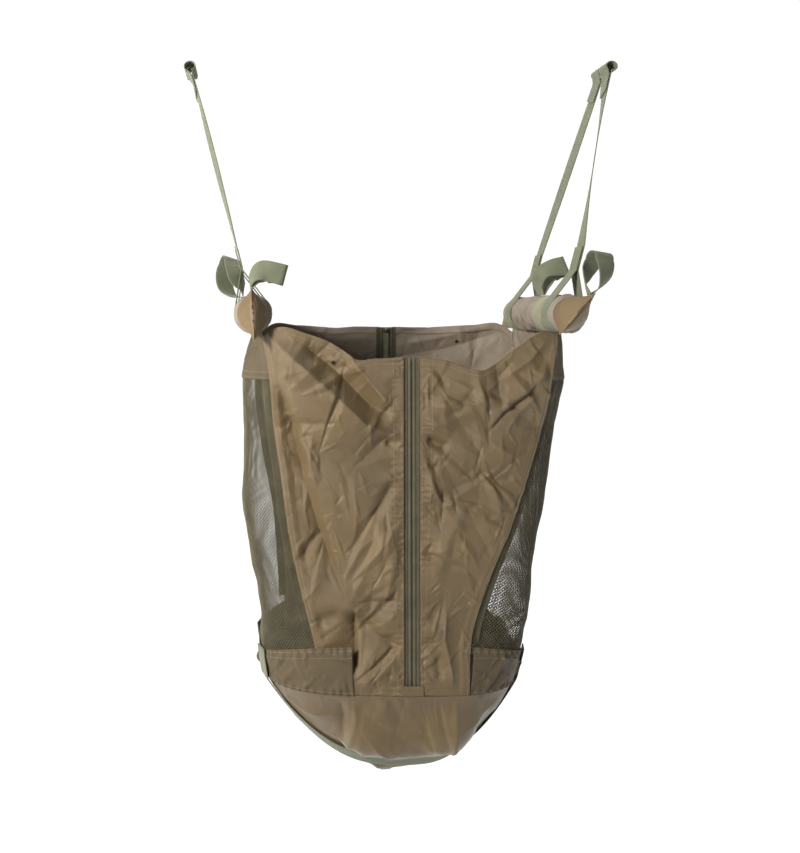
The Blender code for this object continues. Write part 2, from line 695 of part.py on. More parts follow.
def make_pull(word, slide, depth):
    """The pull tab hangs from its bar, which passes through the slider's crown."""
    pivot = empty_at(f"{word}_pull_pivot", (0, depth, 0))
    pivot.parent = slide
    shape = bpy.data.curves.new("tab", "CURVE")
    shape.dimensions = "2D"
    shape.fill_mode = "BOTH"
    shape.extrude = PULL_THICKNESS / 2
    half = PULL_WIDTH / 2
    cut = PULL_CORNER / 2
    top = PULL_BAR / 2
    low = top - PULL_LENGTH
    outer = [
        (-half, top), (half, top), (half, low + cut), (half - cut, low), (cut - half, low), (-half, low + cut),
    ]
    window = PULL_WINDOW_WIDTH / 2
    inner = [
        (-window, -top), (window, -top),
        (window, -top - PULL_WINDOW_LENGTH), (-window, -top - PULL_WINDOW_LENGTH),
    ]
    for outline in (outer, inner):
        spline = shape.splines.new("POLY")
        spline.points.add(len(outline) - 1)
        spline.use_cyclic_u = True
        for point, (x, y) in zip(spline.points, outline):
            point.co = (x, y, 0, 1)
    tab = keep(f"{word}_pull_tab", solid_of(shape), METAL, pivot)
    tab.rotation_euler = (pi / 2, 0, 0)


def solid_of(curve):
    """A filled 2D curve made a closed mesh."""
    holder = bpy.data.objects.new("holder", curve)
    bpy.context.scene.collection.objects.link(holder)
    bpy.context.view_layer.update()
    seen = holder.evaluated_get(bpy.context.evaluated_depsgraph_get())
    made = bpy.data.meshes.new_from_object(seen)
    bpy.data.objects.remove(holder, do_unlink=True)
    bm = bmesh.new()
    bm.from_mesh(made)
    bmesh.ops.remove_doubles(bm, verts=bm.verts[:], dist=GAP / 10)
    return mesh_from(bm, smooth=False)


# The bars


def sleeve_stretches():
    """The sleeve's stretches from its near end: a seat for webbing, or so many ring folds."""
    long_run = BAR_LENGTH - 2 * END_FOLD_LENGTH - MIDDLE_FOLD_LENGTH - 3 * SEAT_LENGTH
    return [
        ("folds", END_FOLD_LENGTH, 1), ("near_strap", SEAT_LENGTH, 0), ("folds", MIDDLE_FOLD_LENGTH, 1),
        ("band", SEAT_LENGTH, 0), ("folds", long_run, LONG_FOLDS), ("far_strap", SEAT_LENGTH, 0),
        ("folds", END_FOLD_LENGTH, 1),
    ]


def seat_middle(wanted):
    """The place along Y of a webbing seat's middle."""
    at = -HALF_BAR
    for kind, length, _ in sleeve_stretches():
        if kind == wanted:
            return at + length / 2
        at += length
    return at


def sleeve_outline():
    """The ruched sleeve's outer line: seats under the webbing and rounded ring folds between."""
    points = []
    at = -HALF_BAR
    for kind, length, folds in sleeve_stretches():
        if kind != "folds":
            points += [(SEAT_RADIUS, at), (SEAT_RADIUS, at + length)]
        for fold in range(folds):
            width = length / folds
            start = at + fold * width
            rise = FOLD_CREST_RADIUS - FOLD_TROUGH_RADIUS
            points += [
                (FOLD_TROUGH_RADIUS + rise * sin(pi * share) ** 0.8, start + width * share)
                for share in (0.04, 0.3, 0.7, 0.96)
            ]
        at += length
    return points


def make_bar(side):
    word = SIDE_WORDS[side]
    bar = empty_at(f"{word}_bar_axis", (side * HALF_SPACING, 0, -BAR_DROP))
    bm = bmesh.new()
    bmesh.ops.create_cone(
        bm, cap_ends=True, segments=24, radius1=FOAM_RADIUS, radius2=FOAM_RADIUS, depth=BAR_LENGTH - 2 * GAP
    )
    foam = keep(f"{word}_foam_core", mesh_from(bm), FOAM, bar)
    foam.rotation_euler = (pi / 2, 0, 0)
    bore = FOAM_RADIUS + GAP * 2
    outer = [(radius, -place) for radius, place in sleeve_outline()]
    inner = [(bore, -HALF_BAR), (bore, HALF_BAR)]
    turned(f"{word}_sleeve", outer + inner, SLEEVE_STEPS, OLIVE, bar)
    middle = seat_middle("band")
    inside = SEAT_RADIUS + GAP * 2
    outside = inside + BAND_THICKNESS
    ring = [
        (outside, -middle + WEB_WIDTH / 2), (outside, -middle - WEB_WIDTH / 2),
        (inside, -middle - WEB_WIDTH / 2), (inside, -middle + WEB_WIDTH / 2),
    ]
    turned(f"{word}_sleeve_band", ring, SLEEVE_STEPS, WEBBING, bar)
    for end in (NEAR, FAR):
        make_cap(side, end, bar)


def cap_section(share):
    """Half the width and half the height of a pillow end, from the round sleeve to its flat seam."""
    half_width = mix(CAP_RADIUS, CAP_SEAM_THICKNESS / 2, share**1.6)
    half_height = mix(CAP_RADIUS, CAP_SEAM_LENGTH / 2, eased(share))
    return half_width, half_height


def make_cap(side, end, bar):
    """A sleeve's end, sewn flat: round at the bar and a straight seam at its tip."""

    def place(u, v):
        angle = 2 * pi * u
        half_width, half_height = cap_section(v)
        x = half_width * np.sign(cos(angle)) * abs(cos(angle)) ** (1 + v)
        z = half_height * sin(angle)
        return Vector((x, end * (HALF_BAR + GAP + CAP_DEPTH * v), z))

    bm = bmesh.new()
    bmesh.ops.create_grid(bm, x_segments=CAP_STEPS, y_segments=5, size=0.5)
    for v in bm.verts:
        v.co = place(v.co.x + 0.5, v.co.y + 0.5)
    bmesh.ops.remove_doubles(bm, verts=bm.verts[:], dist=GAP / 10)
    rims = [edge for edge in bm.edges if edge.is_boundary]
    bmesh.ops.holes_fill(bm, edges=rims, sides=0)
    cap = keep(f"{SIDE_WORDS[side]}_{END_WORDS[end]}_cap", mesh_from(bm), OLIVE, bar)
    cap.rotation_euler = (0, CAP_ROLL[side], 0)


# The webbing straps and loops


def make_hang_strap(side, end):
    """One strap: lapped and sewn above the bar, round it, then up to a sewn eye with a short tail."""
    up = Vector((side * EYE_SPREAD, 0, BAR_DROP))
    reach = up.length - EYE_RADIUS
    up.normalize()
    across = Vector((up.z, 0, -up.x))
    half_gap = (WEB_THICKNESS + STRAP_LAYER_GAP) / 2
    ring = SEAT_RADIUS + STRAP_SLACK + WEB_THICKNESS / 2
    leave = acos(ring / LAP_LOW)
    seat_y = seat_middle(f"{END_WORDS[end]}_strap")
    eye_y = end * EYE_SETOFF
    flat = [(LAP_HIGH, -half_gap), (mix(LAP_LOW, LAP_HIGH, 0.5), -half_gap), (LAP_LOW, -half_gap)]
    for i in range(13):
        angle = mix(leave, 2 * pi - leave, i / 12)
        flat.append((ring * cos(angle), -ring * sin(angle)))
    flat += [(LAP_LOW, half_gap), (mix(LAP_LOW, LAP_HIGH, 0.5), half_gap), (LAP_HIGH, half_gap)]
    leg_low, leg_high = LAP_HIGH, reach - EYE_RADIUS
    flat += [(mix(leg_low, leg_high, i / 8), half_gap) for i in range(1, 9)]
    eye_wide = EYE_RADIUS + half_gap
    for i in range(1, 10):
        angle = mix(-pi / 2.6, pi + pi / 2.6, i / 10)
        flat.append((reach - EYE_RADIUS + EYE_RADIUS * (1 + sin(angle)), eye_wide * cos(angle)))
    flat += [(reach - EYE_RADIUS * 2, -half_gap), (reach - EYE_RADIUS * 2 - TAIL_LENGTH, -half_gap)]
    route = []
    ways = []
    for lift, shift in flat:
        share = min(max((lift - leg_low) / (leg_high - leg_low), 0), 1)
        bar_line = Vector((side * HALF_SPACING, 0, -BAR_DROP))
        y = mix(seat_y, eye_y, share)
        route.append(bar_line + up * lift + across * shift + Vector((0, y, 0)))
        turn = Matrix.Rotation(STRAP_TWIST[side, end] * sin(pi * share), 3, up)
        ways.append(turn @ Vector((0, 1, 0)))
    webbing(f"{SIDE_WORDS[side]}_{END_WORDS[end]}_hang_strap", route, ways, [WEB_WIDTH] * len(route))


def loop_root(side, place):
    """Where a loop is sewn: the upper tip of the near cap's seam, or the sleeve's middle."""
    stand = GAP + LOOP_ROOT_OPENING + WEB_THICKNESS / 2
    if place == END:
        roll = CAP_ROLL[side]
        nearest = LOOP_SETBACK + LOOP_ROOT_WIDTH[END] / 2
        rise = cap_section(nearest / CAP_DEPTH)[1] + stand
        y = -HALF_BAR - LOOP_SETBACK
    else:
        roll = MIDDLE_LOOP_ROLL[side]
        rise = FOLD_CREST_RADIUS + stand
        y = 0
    return Vector((side * HALF_SPACING + rise * sin(roll), y, -BAR_DROP + rise * cos(roll)))


def loop_turn(middle, run, face, half, way, width):
    """The round turn at either end of a folded loop."""
    turn = []
    for i in range(1, LOOP_TURN_STEPS):
        angle = pi * i / LOOP_TURN_STEPS
        reach = half * face.length
        turn.append((middle + run * reach * sin(angle) + face * half * cos(angle), way, width))
    return turn


def make_loop(side, place):
    """A folded loop of webbing: out along its route on one face, round the tip and back on the other."""
    steps = 3
    route = LOOP_ROUTE_SHARES[side, place]
    spine = smooth_route([(LOOP_REACH * a, LOOP_REACH * y, LOOP_REACH * z) for a, z, y in route], steps)
    ways = smooth_route([(a, y, z) for a, z, y in LOOP_WIDTH_WAYS[side, place]], steps)
    openings = [max(share * LOOP_REACH, LOOP_ROOT_OPENING) for share in LOOP_OPENING_SHARES[side, place]]
    places = list(range(len(openings)))
    count = len(spine)
    out, back = [], []
    for i, spot in enumerate(spine):
        run = (spine[min(i + 1, count - 1)] - spine[max(i - 1, 0)]).normalized()
        way = (ways[i] - ways[i].dot(run) * run).normalized()
        face = run.cross(way)
        half = through(places, openings, i / steps)
        width = mix(LOOP_ROOT_WIDTH[place], WEB_WIDTH, eased(i / (2 * steps)))
        out.append((spot + face * half, way, width))
        back.append((spot - face * half, way, width))
    tip = loop_turn(spine[-1], run, face, openings[-1], way, WEB_WIDTH)
    start, first_way, root_width = out[0]
    middle = (start + back[0][0]) / 2
    first_run = (spine[1] - spine[0]).normalized()
    root = loop_turn(middle, -first_run, middle - start, 1, first_way, root_width)
    loop = out + tip + back[::-1] + root
    words = f"{SIDE_WORDS[side]}_{place}_loop"
    pivot = empty_at(f"{words}_root", loop_root(side, place))
    route, faces, widths = zip(*loop)
    webbing(words, route, faces, widths, closed=True, parent=pivot)


clean_scene()
PARTS = collection_named(NAME)
CUTTERS = collection_named("cutters")
make_end_panels()
make_bottom()
make_girths()
for this_end in (NEAR, FAR):
    make_zip(this_end)
for this_side in (LEFT, RIGHT):
    make_side_walls(this_side)
    make_lower_band(this_side)
    make_bar(this_side)
    for this_end in (NEAR, FAR):
        make_hang_strap(this_side, this_end)
    for this_place in (END, MIDDLE):
        make_loop(this_side, this_place)
bpy.context.view_layer.update()
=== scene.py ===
"""The weigh sling as it hangs in the photograph: folded cloth, net, webbing, zips, stitching and light.

The frame: X runs from the left bar to the right one, Y along the bars from near to far, and Z up from
the bars' hang eyes. Heights on the bag are measured as a drop below the bars' axes.
"""

from functools import lru_cache
from math import acos, atan2, cos, hypot, pi, radians, sin

import bmesh
import bpy
import numpy as np
from mathutils import Matrix, Vector


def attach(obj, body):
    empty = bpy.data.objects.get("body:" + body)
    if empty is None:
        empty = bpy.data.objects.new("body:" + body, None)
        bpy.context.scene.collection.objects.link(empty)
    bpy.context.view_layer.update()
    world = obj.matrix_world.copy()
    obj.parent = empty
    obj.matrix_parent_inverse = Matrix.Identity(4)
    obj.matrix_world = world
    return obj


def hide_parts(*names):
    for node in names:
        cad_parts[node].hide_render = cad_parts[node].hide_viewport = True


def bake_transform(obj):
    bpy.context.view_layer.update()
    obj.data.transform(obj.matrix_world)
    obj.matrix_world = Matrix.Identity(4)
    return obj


LEFT, RIGHT = -1, 1
NEAR, FAR = -1, 1
SIDE_WORDS = {LEFT: "left", RIGHT: "right"}
END_WORDS = {NEAR: "near", FAR: "far"}
CORNERS = [(side, end) for end in (NEAR, FAR) for side in (LEFT, RIGHT)]
MM_PER_M = 1000

# Cells along the soft noise's lattice, the least length to divide by, and how near a cut takes a point in
LATTICE = 64
LEAST_LENGTH = 1e-12
CUT_NEAR = 1e-6

# The whole sling
HALF_SPACING = 0.190
HALF_BAR = 0.100
BAR_DROP = 0.325
SEAM_DROP = 0.455
BELLY_DEPTH = 0.130
BELLY_POWER = 2.0
BAG_MIDDLE = (0, 0, -0.55)
BELLY_MIDDLE = (0, 0, -0.6)

# Cloth and webbing
CLOTH = 0.0008
CLOTH_SPACE = 0.0012
TAPE = 0.0008
WEB_WIDTH = 0.025
WEB_THICKNESS = 0.0015
WEB_SHEET = WEB_THICKNESS * 0.85
WEB_COLUMNS = 7
SELVEDGE_SHARE = 0.3
SELVEDGE_ANGLE = radians(60)
GAP = 0.0003
LAY_GAP = 0.0006
SEAM_GAP = 0.0006
SEAM_LAP = 0.0018
TUCK = 0.0040
SEAM_LIFT = 0.0008
HEM_IN = 0.0009
THIN_CLOTH = CLOTH * 0.6

# The bag's level sections, from the bars down to the bottom seam
LEVEL_SHARES = (0.0, 0.058, 0.17, 0.276, 0.408, 0.51, 0.607, 0.7, 0.84, 0.93, 1.0)
WIDTH_SHARES = {
    LEFT: (0.98, 1.0, 1.08, 1.07, 1.055, 1.065, 1.04, 1.005, 0.955, 0.945, 0.92),
    RIGHT: (0.99, 1.0, 1.04, 1.02, 0.98, 0.94, 0.895, 0.855, 0.82, 0.78, 0.735),
}
DEPTH_LEVEL_SHARES = (0.0, 1.0)
DEPTH_SHARES = (1.05, 1.1)
CORNER_LEVEL_SHARES = (0.0, 0.06, 0.3, 1.0)
CORNER_POWER_SHARES = (8.0, 8.0, 3.6, 3.2)
RING_LEVELS = 240
RING_STEPS = 481

# Where the end panels meet the net, as shares of half the bar spacing
PANEL_LEVEL_SHARES = (0.044, 0.17, 0.28, 0.437, 0.57, 0.7, 0.84, 1.0)
PANEL_WIDTH_SHARES = {
    (LEFT, NEAR): (0.937, 0.884, 0.863, 0.81, 0.768, 0.705, 0.62, 0.53),
    (RIGHT, NEAR): (0.937, 0.89, 0.85, 0.735, 0.62, 0.48, 0.37, 0.35),
    (LEFT, FAR): (0.937, 0.935, 0.93, 0.871, 0.803, 0.773, 0.757, 0.757),
    (RIGHT, FAR): (0.937, 0.92, 0.90, 0.86, 0.81, 0.76, 0.70, 0.64),
}

# The top edge of each end panel: places as shares of half the spacing, drops as shares of the seam's
BRIM_PLACE_SHARES = (0.0, 0.19, 0.34, 0.42, 0.63, 0.84, 0.89, 0.937)
BRIM_DROP_SHARES = {
    (LEFT, NEAR): (0.114, 0.117, 0.117, 0.092, 0.052, 0.038, 0.049, 0.0585),
    (RIGHT, NEAR): (0.114, 0.123, 0.142, 0.148, 0.092, 0.045, 0.05, 0.0585),
    (LEFT, FAR): (0.04, 0.04, 0.044, 0.042, 0.036, 0.033, 0.045, 0.0585),
    (RIGHT, FAR): (0.04, 0.042, 0.042, 0.04, 0.035, 0.033, 0.045, 0.0585),
}

# The near left panel's long slanting fold, as shares of half the spacing and of the seam's drop
FOLD_HEIGHT = 0.012
FOLD_WIDTH = 0.026
FOLD_START_SHARES = (0.9, 0.12)
FOLD_END_SHARES = (0.3, 0.32)
FOLD_FADE_SHARE = 0.25

# The relief of the cloth. Facets are given as how many, and their length, width and height; waves as
# a height and how far apart they lie. A fade is the width over which a relief dies out at a seam.
PANEL_FACETS = (36, 0.055, 0.016, 0.0062)
PANEL_FINE_FACETS = (190, 0.019, 0.0060, 0.0017)
PANEL_FACET_LEAN = radians(50)
PANEL_WAVES = (0.0030, 0.070)
PANEL_ZIP_FADE = 0.018
PANEL_ZIP_FINE_FADE = 0.004
PANEL_EDGE_FADE = 0.014
PANEL_SEAM_FADE = 0.016
BRIM_CALM_SHARE = 0.4
BRIM_CALM_FADE = 0.035
BRIM_FADE = 0.018
PUCKER_HEIGHT = 0.0009
PUCKER_PITCH = 0.0080
PUCKER_WIDTH = 0.004
PUCKER_SWAY = (5, 0.018)
PUCKER_LEAST_SHARE = 0.35
PUCKER_UNEVEN_SIZE = 0.027
RUCK_STRETCH_SHARE = 0.6
RUCK_WAVES = (0.0022, 0.014)
RUCK_SETOFF = 0.024
RUCK_WIDTH = 0.010
PANEL_RIB_HEIGHT = 0.0011
PANEL_RIB_SETBACK = 0.006
PANEL_RIB_WIDTH = 0.004
PANEL_RIB_FADE = 0.01
PANEL_LAP_WIDTH = 0.005
UNDER_BAND = 0.0004
UNDER_BAND_FADE = 0.006
UNDER_BAND_TOP_FADE = 0.012
WALL_WAVES = (0.0035, 0.090)
WALL_CREASE_HEIGHT = 0.0016
WALL_CREASE_SIZE = 0.060
WALL_FADE_SHARE = 0.06
WALL_FOOT_FADE = 0.02
TOP_BAND_FACETS = (40, 0.03, 0.008, 0.0016)
RIPPLE_HEIGHT = 0.0008
RIPPLE_PITCH = 0.011
LOW_BAND_FACETS = (70, 0.030, 0.012, 0.0034)
LOW_BAND_WAVES = (0.0014, 0.03)
LOW_BAND_PUCKER_HEIGHT = 0.0008
LOW_BAND_PUCKER_PITCH = 0.0095
LOW_BAND_PUCKER_WIDTHS = (0.006, 0.008)
LOW_BAND_PUCKER_SWAY = (2.2, 0.02)
LOW_BAND_FADE = 0.012
LOW_BAND_DEEPEST = 0.0006
BELLY_FACETS = (46, 0.070, 0.020, 0.0048)
BELLY_FINE_FACETS = (260, 0.020, 0.0065, 0.0012)
BELLY_WAVES = (0.0020, 0.06)
BELLY_FADE_SHARE = 0.12
BELLY_FINE_FADE_SHARE = 0.02
UNDER_GIRTH = 0.0012
UNDER_GIRTH_FADE_SHARE = 0.05
TAPE_WAVES = (0.0002, 0.02)
PATCH_WAVES = (0.0003, 0.008)

# The bottom's folds fan out from its near left: angles in degrees, then the height, left and right
# spread in millimetres. Those at its near corners are given by points and metres.
BELLY_FOLD_START = (-0.070, -0.098)
BELLY_FOLD_REACHES = (0.07, 0.2)
BELLY_FOLDS = ((95, 5, 7, 12), (60, 6, 8, 14), (28, 5, 7, 12), (4, 5, 9, 7), (130, 5, 7, 9), (160, 4, 6, 8))
CORNER_FOLDS = (
    (((-0.072, -0.118), (-0.066, -0.095), (-0.076, -0.062)), 0.006, 0.007, 0.010),
    (((-0.090, -0.116), (-0.080, -0.092), (-0.078, -0.070)), -0.007, 0.010, 0.005),
    (((0.056, -0.118), (0.052, -0.092), (0.046, -0.062)), 0.006, 0.009, 0.006),
    (((-0.030, -0.112), (-0.010, -0.094), (0.030, -0.086)), -0.004, 0.012, 0.012),
)

# The side walls
TOP_BAND_DROP = 0.078
SIDE_SEAM_DROP = 0.430
END_SEAM_DROP = 0.400
BAND_OVERLAP = 0.004
SEAM_ALLOWANCE = 0.011
BAND_REACH = 0.070
SEAM_STRIP_IN = 0.0011
MESH_TAPE_WIDTH = 0.012
BINDING_SETBACK_SHARE = 0.1
HEM_HEIGHT = 0.010

# How finely each cloth is divided: its columns and rows
TOP_BAND_GRID = (151, 37)
BINDING_GRID = (7, 121)
LOW_BAND_GRID = (331, 41)
BOTTOM_GRID = (241, 181)
BOTTOM_SEAM_GRID = (201, 7)
ZIP_TAPE_GRID = (29, 121)
PATCH_GRID = (31, 15)
SLEEVE_GRID = (145, 301)
CAP_GRID = (145, 41)

# How finely an end panel is divided across and down, and where its rows of stitches run
PANEL_STEPS = {NEAR: (150, 290), FAR: (120, 220)}
PANEL_SEWING_DROP = 0.2
HEM_SEWING_ROW = 2
EDGE_SEWING_COLUMNS = (2, 7)
TOP_BAND_SEWING_ROWS = (3, 7)
LOW_BAND_SEWING_ROWS = (3, 9, 38)

# The net
NET_WIDTH_DROP = 0.25
NET_PITCH = 0.0031
NET_STRAND = 0.00048
NET_RELIEF = 0.0002
NET_DEPTH = 0.0008
NET_LAP = 0.005

# The bars
FOLD_CREST_RADIUS = 0.0245
SEAT_RADIUS = 0.0213
SEAT_LENGTH = 0.026
END_FOLD_LENGTH = 0.009
MIDDLE_FOLD_LENGTH = 0.008
CAP_RADIUS = 0.022
CAP_DEPTH = 0.030
CAP_NECK = 0.0192
SLEEVE_TROUGH = 0.0186
CAP_SEAM_LENGTH = 0.064
CAP_SEAM_THICKNESS = 0.0024
CAP_GIRTH = 0.02
CAP_SEAM_SHARE = 0.97
CAP_NECK_SHARES = (0.25, 0.2)
CAP_SHOULDER_SHARE = 0.84
CAP_SEWING_ROW = 35
CAP_SEWING_HALVES = ((6, 67), (78, 139))
CAP_TAPER_POWER = 1.6
CAP_GATHERS = 9
CAP_GATHER_SWAY = 1.5
CAP_GATHER_POWER = 1.5
CAP_GATHER_DEPTH_SHARE = 0.035
CAP_DENT_SHARE = 0.05
CAP_DENT_REACH = 0.03
CAP_DENT_TURN = 0.01
CAP_DENT_SIZE = 0.012
CAP_SEWING_LIFT = 0.0002
CAP_ROLL = {LEFT: radians(-3), RIGHT: radians(41)}
LONG_FOLD_LENGTH = 2 * HALF_BAR - 2 * END_FOLD_LENGTH - MIDDLE_FOLD_LENGTH - 3 * SEAT_LENGTH

# Along a sleeve from its near end: what lies there, how long it is and how many folds it has
SLEEVE_LAYOUT = (
    ("folds", END_FOLD_LENGTH, 2),
    ("near_strap", SEAT_LENGTH, 0),
    ("folds", MIDDLE_FOLD_LENGTH, 2),
    ("band", SEAT_LENGTH, 0),
    ("folds", LONG_FOLD_LENGTH, 7),
    ("far_strap", SEAT_LENGTH, 0),
    ("folds", END_FOLD_LENGTH, 2),
)
SLEEVE_SEAT = SEAT_RADIUS - 0.0006
SLEEVE_LOW_CREST = 0.0218
SLEEVE_FOLD_POWER = 0.45
SLEEVE_FOLD_SWAY = (0.45, 0.012)
SLEEVE_LEAST_BOLD = 0.45
SLEEVE_BOLD_STEP = 0.01
SLEEVE_BOLD_TURN = 0.018
SLEEVE_BOLD_SIZE = 0.013
SLEEVE_FADE = 0.0015
SLEEVE_GIRTH = 0.022
SLEEVE_END_NECK = CAP_NECK - 0.0008
SLEEVE_END_FADE = 0.012
SLEEVE_CREASE_HEIGHT = 0.0003
SLEEVE_CREASE_SIZE = 0.006

# The hang straps
EYE_SPREAD = 0.083
EYE_RADIUS = 0.006
EYE_SETOFF = 0.0135
STRAP_SLACK = 0.0005
STRAP_LAYER_GAP = 0.0006
LAP_LOW = 0.055
LAP_HIGH = 0.085
TAIL_LENGTH = 0.025
EYE_OPENING = pi / 2.6
LAP_STEPS, TURN_STEPS, LEG_STEPS, EYE_STEPS, TAIL_STEPS = 8, 30, 30, 20, 6
STRAP_TWIST = {
    (LEFT, NEAR): radians(12),
    (LEFT, FAR): radians(12),
    (RIGHT, NEAR): radians(-20),
    (RIGHT, FAR): radians(4),
}

# The loops, as shares of the loop's reach along X, Z and Y
END, MIDDLE = "end", "middle"
LOOP_REACH = 0.050
LOOP_ROOT_WIDTH = {END: 0.012, MIDDLE: 0.022}
LOOP_ROOT_OPENING = 0.0013
LOOP_SETBACK = 0.013
MIDDLE_LOOP_ROLL = {LEFT: radians(-32), RIGHT: radians(0)}
LOOP_ROUTE_SHARES = {
    (LEFT, END): ((0, 0, 0), (0.08, 0.2, 0), (0.26, 0.36, 0), (0.5, 0.36, -0.02), (0.7, 0.31, -0.05)),
    (LEFT, MIDDLE): ((0, 0, 0), (-0.14, 0.16, 0), (-0.3, 0.42, 0), (-0.34, 0.7, 0.05), (-0.32, 0.84, 0.1)),
    (RIGHT, END): ((0, 0, 0), (0.06, 0.22, 0), (0.14, 0.46, 0), (0.2, 0.68, 0), (0.22, 0.82, 0)),
    (RIGHT, MIDDLE): ((0, 0, 0), (0, 0.22, 0), (0.08, 0.46, 0), (0.3, 0.62, -0.02), (0.52, 0.7, -0.05)),
}
LOOP_WIDTH_WAYS = {
    (LEFT, END): ((0, 0, 1), (-0.5, 0.25, 0.83), (-0.25, 0.9, 0.35), (0.1, 1, 0), (0.3, 0.95, 0)),
    (LEFT, MIDDLE): ((0, 0, 1), (0.3, 0.1, 0.9), (0.6, 0.5, 0.6), (0.8, 0.3, 0.5), (0.85, 0.2, 0.45)),
    (RIGHT, END): ((0, 0, 1), (0.4, 0, 0.9), (0.75, -0.05, 0.65), (0.9, -0.1, 0.4), (0.95, -0.12, 0.3)),
    (RIGHT, MIDDLE): ((0, 0, 1), (-0.2, 0.1, 1), (-0.3, 0.5, 0.8), (0.1, 0.9, 0.4), (0.35, 0.9, 0.1)),
}
LOOP_OPENING_SHARES = {
    (LEFT, END): (0, 0.08, 0.12, 0.12, 0.1),
    (LEFT, MIDDLE): (0, 0.2, 0.3, 0.28, 0.18),
    (RIGHT, END): (0, 0.18, 0.25, 0.24, 0.18),
    (RIGHT, MIDDLE): (0, 0.12, 0.17, 0.14, 0.1),
}

# The zips
ZIP_GAP = 0.019
ZIP_TAPE_REACH = 0.014
ZIP_TAPE_GAP = 0.0008
ZIP_TOP_CLEARANCE = 0.004
ZIP_TAPE_RISE = ZIP_TOP_CLEARANCE * 0.85
ZIP_END_DROP = 0.446
COIL_WIDTH = 0.007
COIL_THICKNESS = 0.0022
COIL_PITCH = 0.0013
STOP_LENGTH = 0.005
STITCH_ROWS = (0.0125, 0.0215)
PATCH_LAP = 0.004
PATCH_RISE = 0.003

# Across a zip tape, from the coil's middle: the height, place and width of each ridge or dip
TAPE_RIDGES = (
    (0.0007, 0.0026, 0.0016), (0.0005, 0.0066, 0.0007), (0.0004, 0.0088, 0.0005), (-0.0005, 0, 0.0006),
)
TAPE_SEWING = 0.0078

# Places over a zip tape's reach, and how bright it is painted there against its own colour: painted
# highlights over the coil's bulge, and painted shade in the creases at the coil's edge and beside the rib
TAPE_PAINTED_LIGHT_SHARES = (
    (0.11, 1.15), (0.30, 1.1), (0.335, 0.22), (0.37, 0.22), (0.41, 1.0), (0.60, 0.9), (0.64, 0.3),
)

# A coil's tooth, as shares of the coil's width and thickness and of its pitch, and its two cords
TOOTH_SIZE_SHARES = (0.56, 0.4, 0.45)
TOOTH_PLACE_SHARES = (0.22, 0.27)
TOOTH_ROUNDING_SHARE = 0.16
COIL_CORD_PLACE_SHARE = 0.36
COIL_CORD_RADIUS_SHARE = 0.3
COIL_CORD_SIDES = 8
COIL_EDGE_ANGLE = radians(50)

# The girths and drain holes
GIRTH_SETOFF = 0.050
GIRTH_TOP_DROP = 0.418
GIRTH_BULGE = 0.019
GIRTH_BULGE_SETOFF = 0.029
GIRTH_BULGE_WIDTH = 0.014
GIRTH_BULGE_REACH = 0.10
GIRTH_BULGE_FADE = 0.05
GIRTH_BULGE_FADE_SHARE = 0.10
GIRTH_FADE = 0.009
GIRTH_RISE_SHARES = (0.92, 0.75, 0.58, 0.4, 0.2, 0.0)
HOLE_RADIUS = 0.0025
HOLE_SIDES = 20
DRAIN_PLACE_SHARES = ((-0.42, -0.38), (0.0, -0.55), (0.42, -0.38), (-0.42, 0.38), (0.0, 0.55), (0.42, 0.38))

# Two small holes burnt near the brim: how far each is from the zip's line, and its drop
BURNT_PLACES = {(LEFT, NEAR): (0.094, 0.058), (RIGHT, FAR): (0.102, 0.039)}
BURNT_DEPTH = 2.4 * CLOTH

# Stitches
STITCH_LENGTH = 0.0026
STITCH_PITCH = 0.0036
STITCH_THICKNESS = 0.0006
STITCH_LIFT_SHARE = 0.15

# Stitched boxes where a hang strap's laps are sewn: half their length and half their width
BOX_HALF_LENGTH = 0.011
BOX_HALF_WIDTH = 0.009
BOX_LIFT = 0.0001
BOX_POINTS = 12

# The camera, by the photograph: its height and the lens in pixels, and how far its centre is shifted
PICTURE_HEIGHT = 853
LENS_PIXELS = 890
SHIFT_PIXELS = (147, -112.5)
SENSOR_HEIGHT = 36
CAMERA_PLACE = (-0.19, -1.17, -0.325)

# Lamps: their place, what they point at, their size and power in watts, and their colour
WHITE = (1, 1, 1)
LAMPS = {
    "key": ((-1.05, -1.05, 0.10), BAG_MIDDLE, (0.25, 0.25), 28, (1.0, 0.96, 0.90)),
    "fill": ((1.3, -1.2, 0.0), BAG_MIDDLE, (0.5, 1.0), 0.6, WHITE),
    "overhead": ((0.1, 0.2, 1.2), (0, 0, -0.4), (0.8, 0.5), 8, WHITE),
    "left_rim": ((-1.5, 0.4, -0.3), (0, 0, -0.5), (0.4, 1.4), 4, WHITE),
}

# The sky that lights the sling: dark round the front, pale behind it. The camera sees the white backdrop.
SKY_DARK, SKY_DARK_AT = (0.04, 0.04, 0.043), 0.55
SKY_PALE, SKY_PALE_AT = (0.80, 0.80, 0.80), 0.80
BACKDROP_STRENGTH = 1.05

# The floor's glow, by how far a place is from a point behind the camera: faint beneath the sling, and
# white where the picture shows it
FLOOR_HALF_SIZE = 6
FLOOR_HEIGHT = -1.35
GLOW_MIDDLE = (-0.19, -2.0, 0)
GLOW_REACH = (1.5, 2.46)
GLOW_STRENGTH = (0.13, 1.0)

# The photograph's scale on the near panel, and where the left bar's axis meets it, in its pixels
SEEN_SCALE = 0.0012
SEEN_LEFT_BAR = (253, 314)

